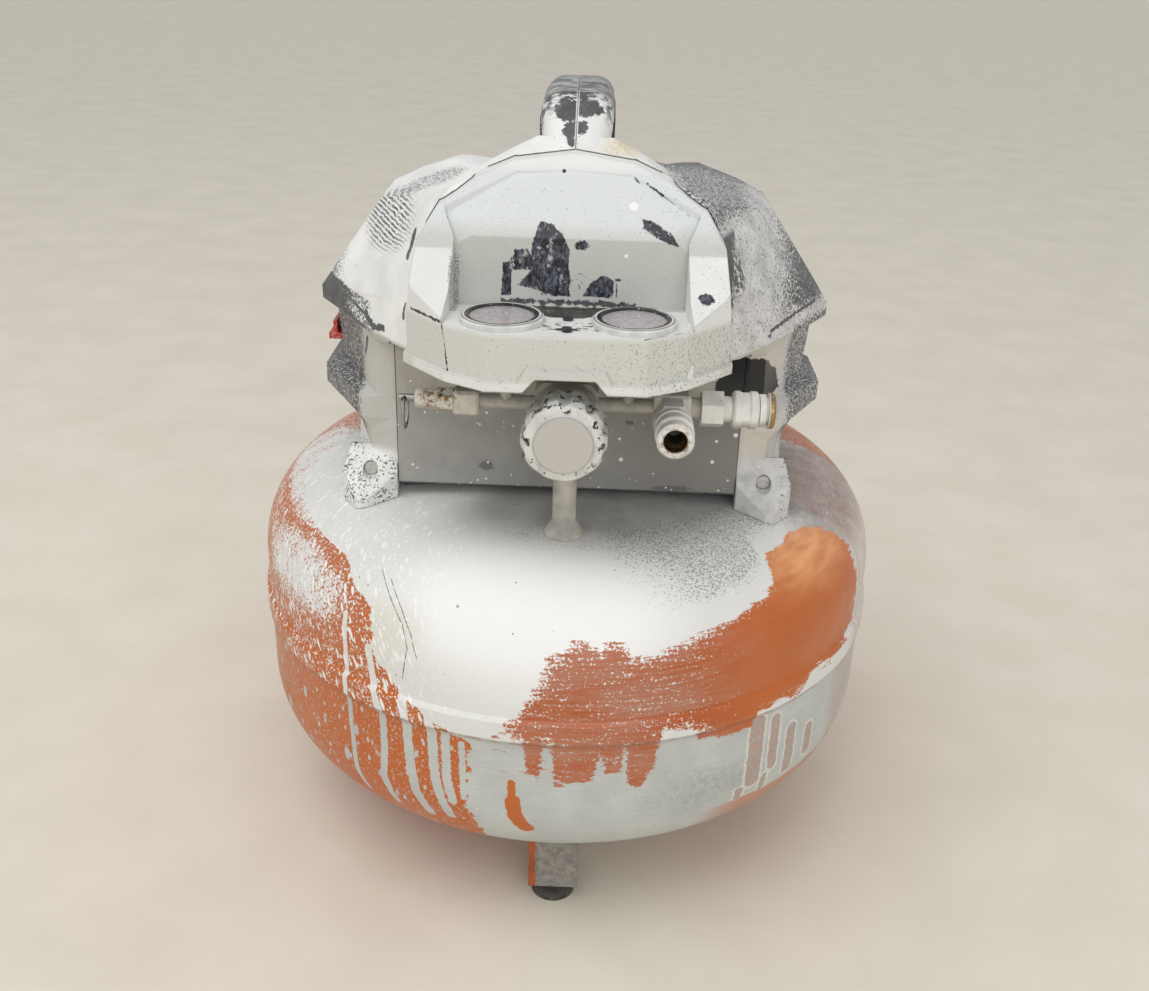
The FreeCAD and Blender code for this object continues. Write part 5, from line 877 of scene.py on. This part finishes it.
def gauge_case_paint():
    """White spray on the bezel's two rings, glossy black inside them."""
    f = Finish("gauge_case_paint")
    reach = f.reach(*from_gauge(f))
    outer = f.step(reach, gauge_window_radius + 2.2, gauge_window_radius + 2.7)
    groove = f.band(reach, gauge_groove_radius - 0.2, gauge_groove_radius + 0.2, 0.25)
    rear_chip = f.chip((gauge_x, gauge_y + 18, console_deck + 3), (12, 5, 4), 0.7, 4)
    specks = f.most(f.dots(3, 0.3, 0.5), f.step(f.raw(3, 5, 0.7), 0.62, 0.75))
    cover = f.most(f.times(outer, f.rest(f.times(rear_chip, 0.9))), f.times(specks, 0.85))
    paint = f.mix((226, 227, 223), (196, 197, 192), f.noise(8, 5))
    paint = f.mix(paint, (110, 110, 108), groove, 0.8)
    tone = f.mix((14, 14, 15), (48, 48, 50), f.noise(4, 4))
    bump = f.bump(f.minus(f.times(cover, 0.6), f.times(groove, 1.2)), 0.6, 0.3, f.rounded(0.5))
    return f.done(f.mix(tone, paint, cover), f.blend(0.16, 0.55, cover), bump)


def dial_card():
    """Dull pinkish card with a ring of ticks, faded under the spray."""
    f = Finish("dial_card")
    across, along = from_gauge(f)
    reach = f.reach(across, along)
    angle = f.math("DEGREES", f.math("ARCTAN2", across, along))
    sweep = f.step(f.size_of(angle), 137, 135)
    turned = f.plus(angle, 135)
    fine = f.step(f.math("PINGPONG", turned, 4.5), 0.9, 0.5)
    coarse = f.step(f.math("PINGPONG", turned, 22.5), 1.6, 1.1)
    fine = f.times(fine, f.band(reach, 13.4, 14.8, 0.2))
    ticks = f.most(fine, f.times(coarse, f.band(reach, 11.8, 14.8, 0.2)))
    paper = f.mix((230, 218, 219), (194, 182, 185), f.noise(6, 6, 0.7))
    paper = f.mix(paper, (70, 66, 70), ticks, sweep, 0.6)
    spots = f.most(f.dots(2.6, 0.3, 0.3), f.step(f.raw(4, 5, 0.7), 0.8, 1))
    paper = f.mix(paper, (222, 218, 216), spots)
    return f.done(paper, f.blend(0.55, 0.7, f.noise(3)), f.bump(f.noise(1.5), 0.4, 0.05))


def lens_glass():
    """Gauge glass, dulled by fine scuffs and specks of spray."""
    f = Finish("lens_glass")
    scuff = f.noise(3, 4)
    haze = f.times(f.step(f.raw(5, 6, 0.75), 0.55, 0.8), 0.7)
    spots = f.most(f.dots(2.4, 0.3, 0.2), f.dots(6.5, 0.2, 0.4), haze)
    colour = f.mix((214, 207, 208), (236, 234, 232), spots)
    return f.done(colour, f.blend(f.blend(0.06, 0.22, scuff), 0.6, spots), f.bump(spots, 0.4, 0.1),
                  Alpha=f.blend(f.blend(0.45, 0.7, scuff), 1, spots), IOR=1.46)


def lever_plastic():
    """Red switch with a thin pinkish veil of spray."""
    f = Finish("lever_plastic")
    tone = f.mix((206, 48, 42), (168, 32, 30), f.noise(6, 4))
    veil = f.times(f.speckle(0.42, 1.2, 0.4), 0.55)
    colour = f.mix(tone, (226, 168, 160), veil)
    return f.done(colour, f.blend(0.34, 0.55, veil), f.bump(f.noise(1), 0.4, 0.05, f.rounded(0.5)))


def rear_plastic(name, amount, bare=CHARCOAL):
    """Dark moulded plastic with a light mist of spray."""
    f = Finish(name)
    mist = f.scaled(f.noise(40, 5), 0.16, amount)
    paint = f.mix((196, 196, 192), (150, 150, 148), f.noise(10, 5))
    return painted_plastic(f, f.speckle(mist, 1.3, 0.36), paint, bare)


def foot_rubber():
    """Black rubber, dusty at the bottom edge."""
    f = Finish("foot_rubber")
    dust = f.times(f.step(f.z, 12, 1), f.noise(6, 6, 0.7))
    tone = f.mix((24, 24, 25), (48, 47, 46), f.noise(9, 5))
    tone = f.mix(tone, (128, 120, 106), dust, 0.6)
    tone = f.mix(tone, PAINT_PALE, f.dots(4, 0.2, 0.25))
    return f.done(tone, f.blend(0.7, 0.85, dust), f.bump(f.noise(1.2, 4), 0.6, 0.12, f.rounded(1)))


safety_rust = ((-70, -128, 322), (13, 12, 9), 0.5)
mouth_rust = ((57, -174, 318.5), (8.5, 6, 8.5), 0.4)

dressing = [
    (tank_upper_paint(), ["tank_upper_half"]),
    (tank_lower_paint(), ["tank_lower_half"]),
    (leg_paint(), ["tank_legs"]),
    (left_shroud_paint(), ["left_shroud"]),
    (right_shroud_paint(), ["right_shroud"]),
    (grip_rubber(), ["handle_grips"]),
    (console_paint(), ["console"]),
    (skirt_paint(), ["front_skirt"]),
    (fitting_paint("fitting_paint", (196, 191, 178), (156, 153, 144)),
     ["outlet_stub_pipe", "regulator_body", "regulator_bonnet", "air_line_nipples", "gauge_tubes"]),
    (fitting_paint("safety_fitting_paint", (224, 220, 206), (190, 186, 174), safety_rust),
     ["air_line_blocks", "safety_valve_body"]),
    (fitting_paint("coupler_paint", (240, 239, 233), (212, 210, 202), mouth_rust),
     ["side_coupler_body", "side_coupler_sleeve", "front_coupler_body", "front_coupler_sleeve"]),
    (knob_paint(), ["regulator_knob"]),
    (gauge_case_paint(), ["gauge_cases"]),
    (dial_card(), ["gauge_dials"]),
    (lens_glass(), ["gauge_lenses"]),
    (lever_plastic(), ["switch_lever"]),
    (rear_plastic("rear_plastic", 0.34), ["rear_cover"]),
    (rear_plastic("gland_plastic", 0.26, (34, 34, 36)), ["cord_gland"]),
    (foot_rubber(), ["rubber_feet"]),
    (screw_paint(), ["shroud_screws"]),
    (plain("needle_paint", (28, 28, 30), 0.4), ["outlet_gauge_needle", "tank_gauge_needle"]),
    (plain("charcoal_plastic", CHARCOAL, 0.5, fleck=PAINT_WHITE),
     ["pressure_switch", "motor_fan", "intake_filter"]),
    (plain("steel", (170, 168, 163), 0.35, 1),
     ["foot_screws", "head_screws", "motor_rotor", "bearings", "regulator_spring", "regulator_screw",
      "valve_plate", "safety_pull_ring", "safety_valve_stem"]),
    (plain("laminated_steel", (120, 118, 116), 0.5, 0.9), ["motor_stator"]),
    (plain("rubber", (28, 28, 28), 0.75), ["rubber_mounts", "drive_belt", "regulator_diaphragm"]),
    (plain("brass", (190, 150, 80), 0.35, 1),
     ["drain_valve_body", "drain_knob", "check_valve_body", "check_valve_poppet"]),
    (plain("copper", (184, 110, 70), 0.35, 1), ["delivery_tube"]),
    (plain("cast_aluminium", (158, 158, 156), 0.5, 1),
     ["cylinder_head", "piston", "connecting_rod", "cylinder_sleeve", "motor_end_bell"]),
    (plain("cast_iron", (70, 70, 72), 0.6, 0.9), ["crank_wheel", "crankshaft", "pump_frame"]),
    (plain("bracket_paint", (92, 92, 96), 0.5, 0.2, fleck=PAINT_PALE, share=0.4), ["saddle_bracket"]),
]

for material, names in dressing:
    for name in names:
        nodes[name].data.materials.clear()
        nodes[name].data.materials.append(material)


def make_camera():
    data = bpy.data.cameras.new("camera")
    data.lens = camera_lens
    camera = bpy.data.objects.new("camera", data)
    bpy.context.scene.collection.objects.link(camera)
    turn = Matrix.Rotation(math.radians(camera_yaw), 4, "Z")
    tilt = Matrix.Rotation(math.radians(90 - camera_pitch), 4, "X")
    roll = Matrix.Rotation(math.radians(camera_roll), 4, "Z")
    camera.matrix_world = Matrix.Translation(camera_place) @ turn @ tilt @ roll
    bpy.context.scene.camera = camera


def make_lamp(name, place, size, watts):
    data = bpy.data.lights.new(name, "AREA")
    data.shape = "RECTANGLE"
    data.size, data.size_y = size
    data.energy = watts
    lamp = bpy.data.objects.new(name, data)
    lamp.location = Vector(place)
    lamp.rotation_euler = (Vector(lamp_aim) - lamp.location).to_track_quat("-Z", "Y").to_euler()
    bpy.context.scene.collection.objects.link(lamp)


def make_floor():
    bpy.ops.mesh.primitive_circle_add(vertices=96, radius=floor_radius, fill_type="NGON")
    floor = bpy.context.object
    floor.name = "floor"
    f = Finish("floor_paint")
    tone = f.mix((234, 227, 212), (226, 219, 203), f.noise(90, 5))
    floor.data.materials.append(f.done(tone, 0.6))


def make_room():
    """World light of one level; what the camera, gloss and glass see of it is a plain pale grey."""
    world = bpy.data.worlds.new("room")
    bpy.context.scene.world = world
    world.use_nodes = True
    tree = world.node_tree
    path = tree.nodes.new("ShaderNodeLightPath")
    seen = path.outputs["Is Camera Ray"]
    for ray in ("Is Glossy Ray", "Is Transmission Ray"):
        either = tree.nodes.new("ShaderNodeMath")
        either.operation = "MAXIMUM"
        tree.links.new(seen, either.inputs[0])
        tree.links.new(path.outputs[ray], either.inputs[1])
        seen = either.outputs[0]
    mix = tree.nodes.new("ShaderNodeMix")
    mix.data_type = "RGBA"
    tree.links.new(seen, mix.inputs[0])
    mix.inputs[6].default_value = room_light
    mix.inputs[7].default_value = linear(ROOM_SEEN)
    tree.links.new(mix.outputs[2], tree.nodes["Background"].inputs["Color"])


make_camera()
make_lamp("ceiling", **ceiling_lamp)
make_lamp("front", **front_lamp)
make_floor()
make_room()

scene = bpy.context.scene
scene.view_settings.view_transform = "Standard"
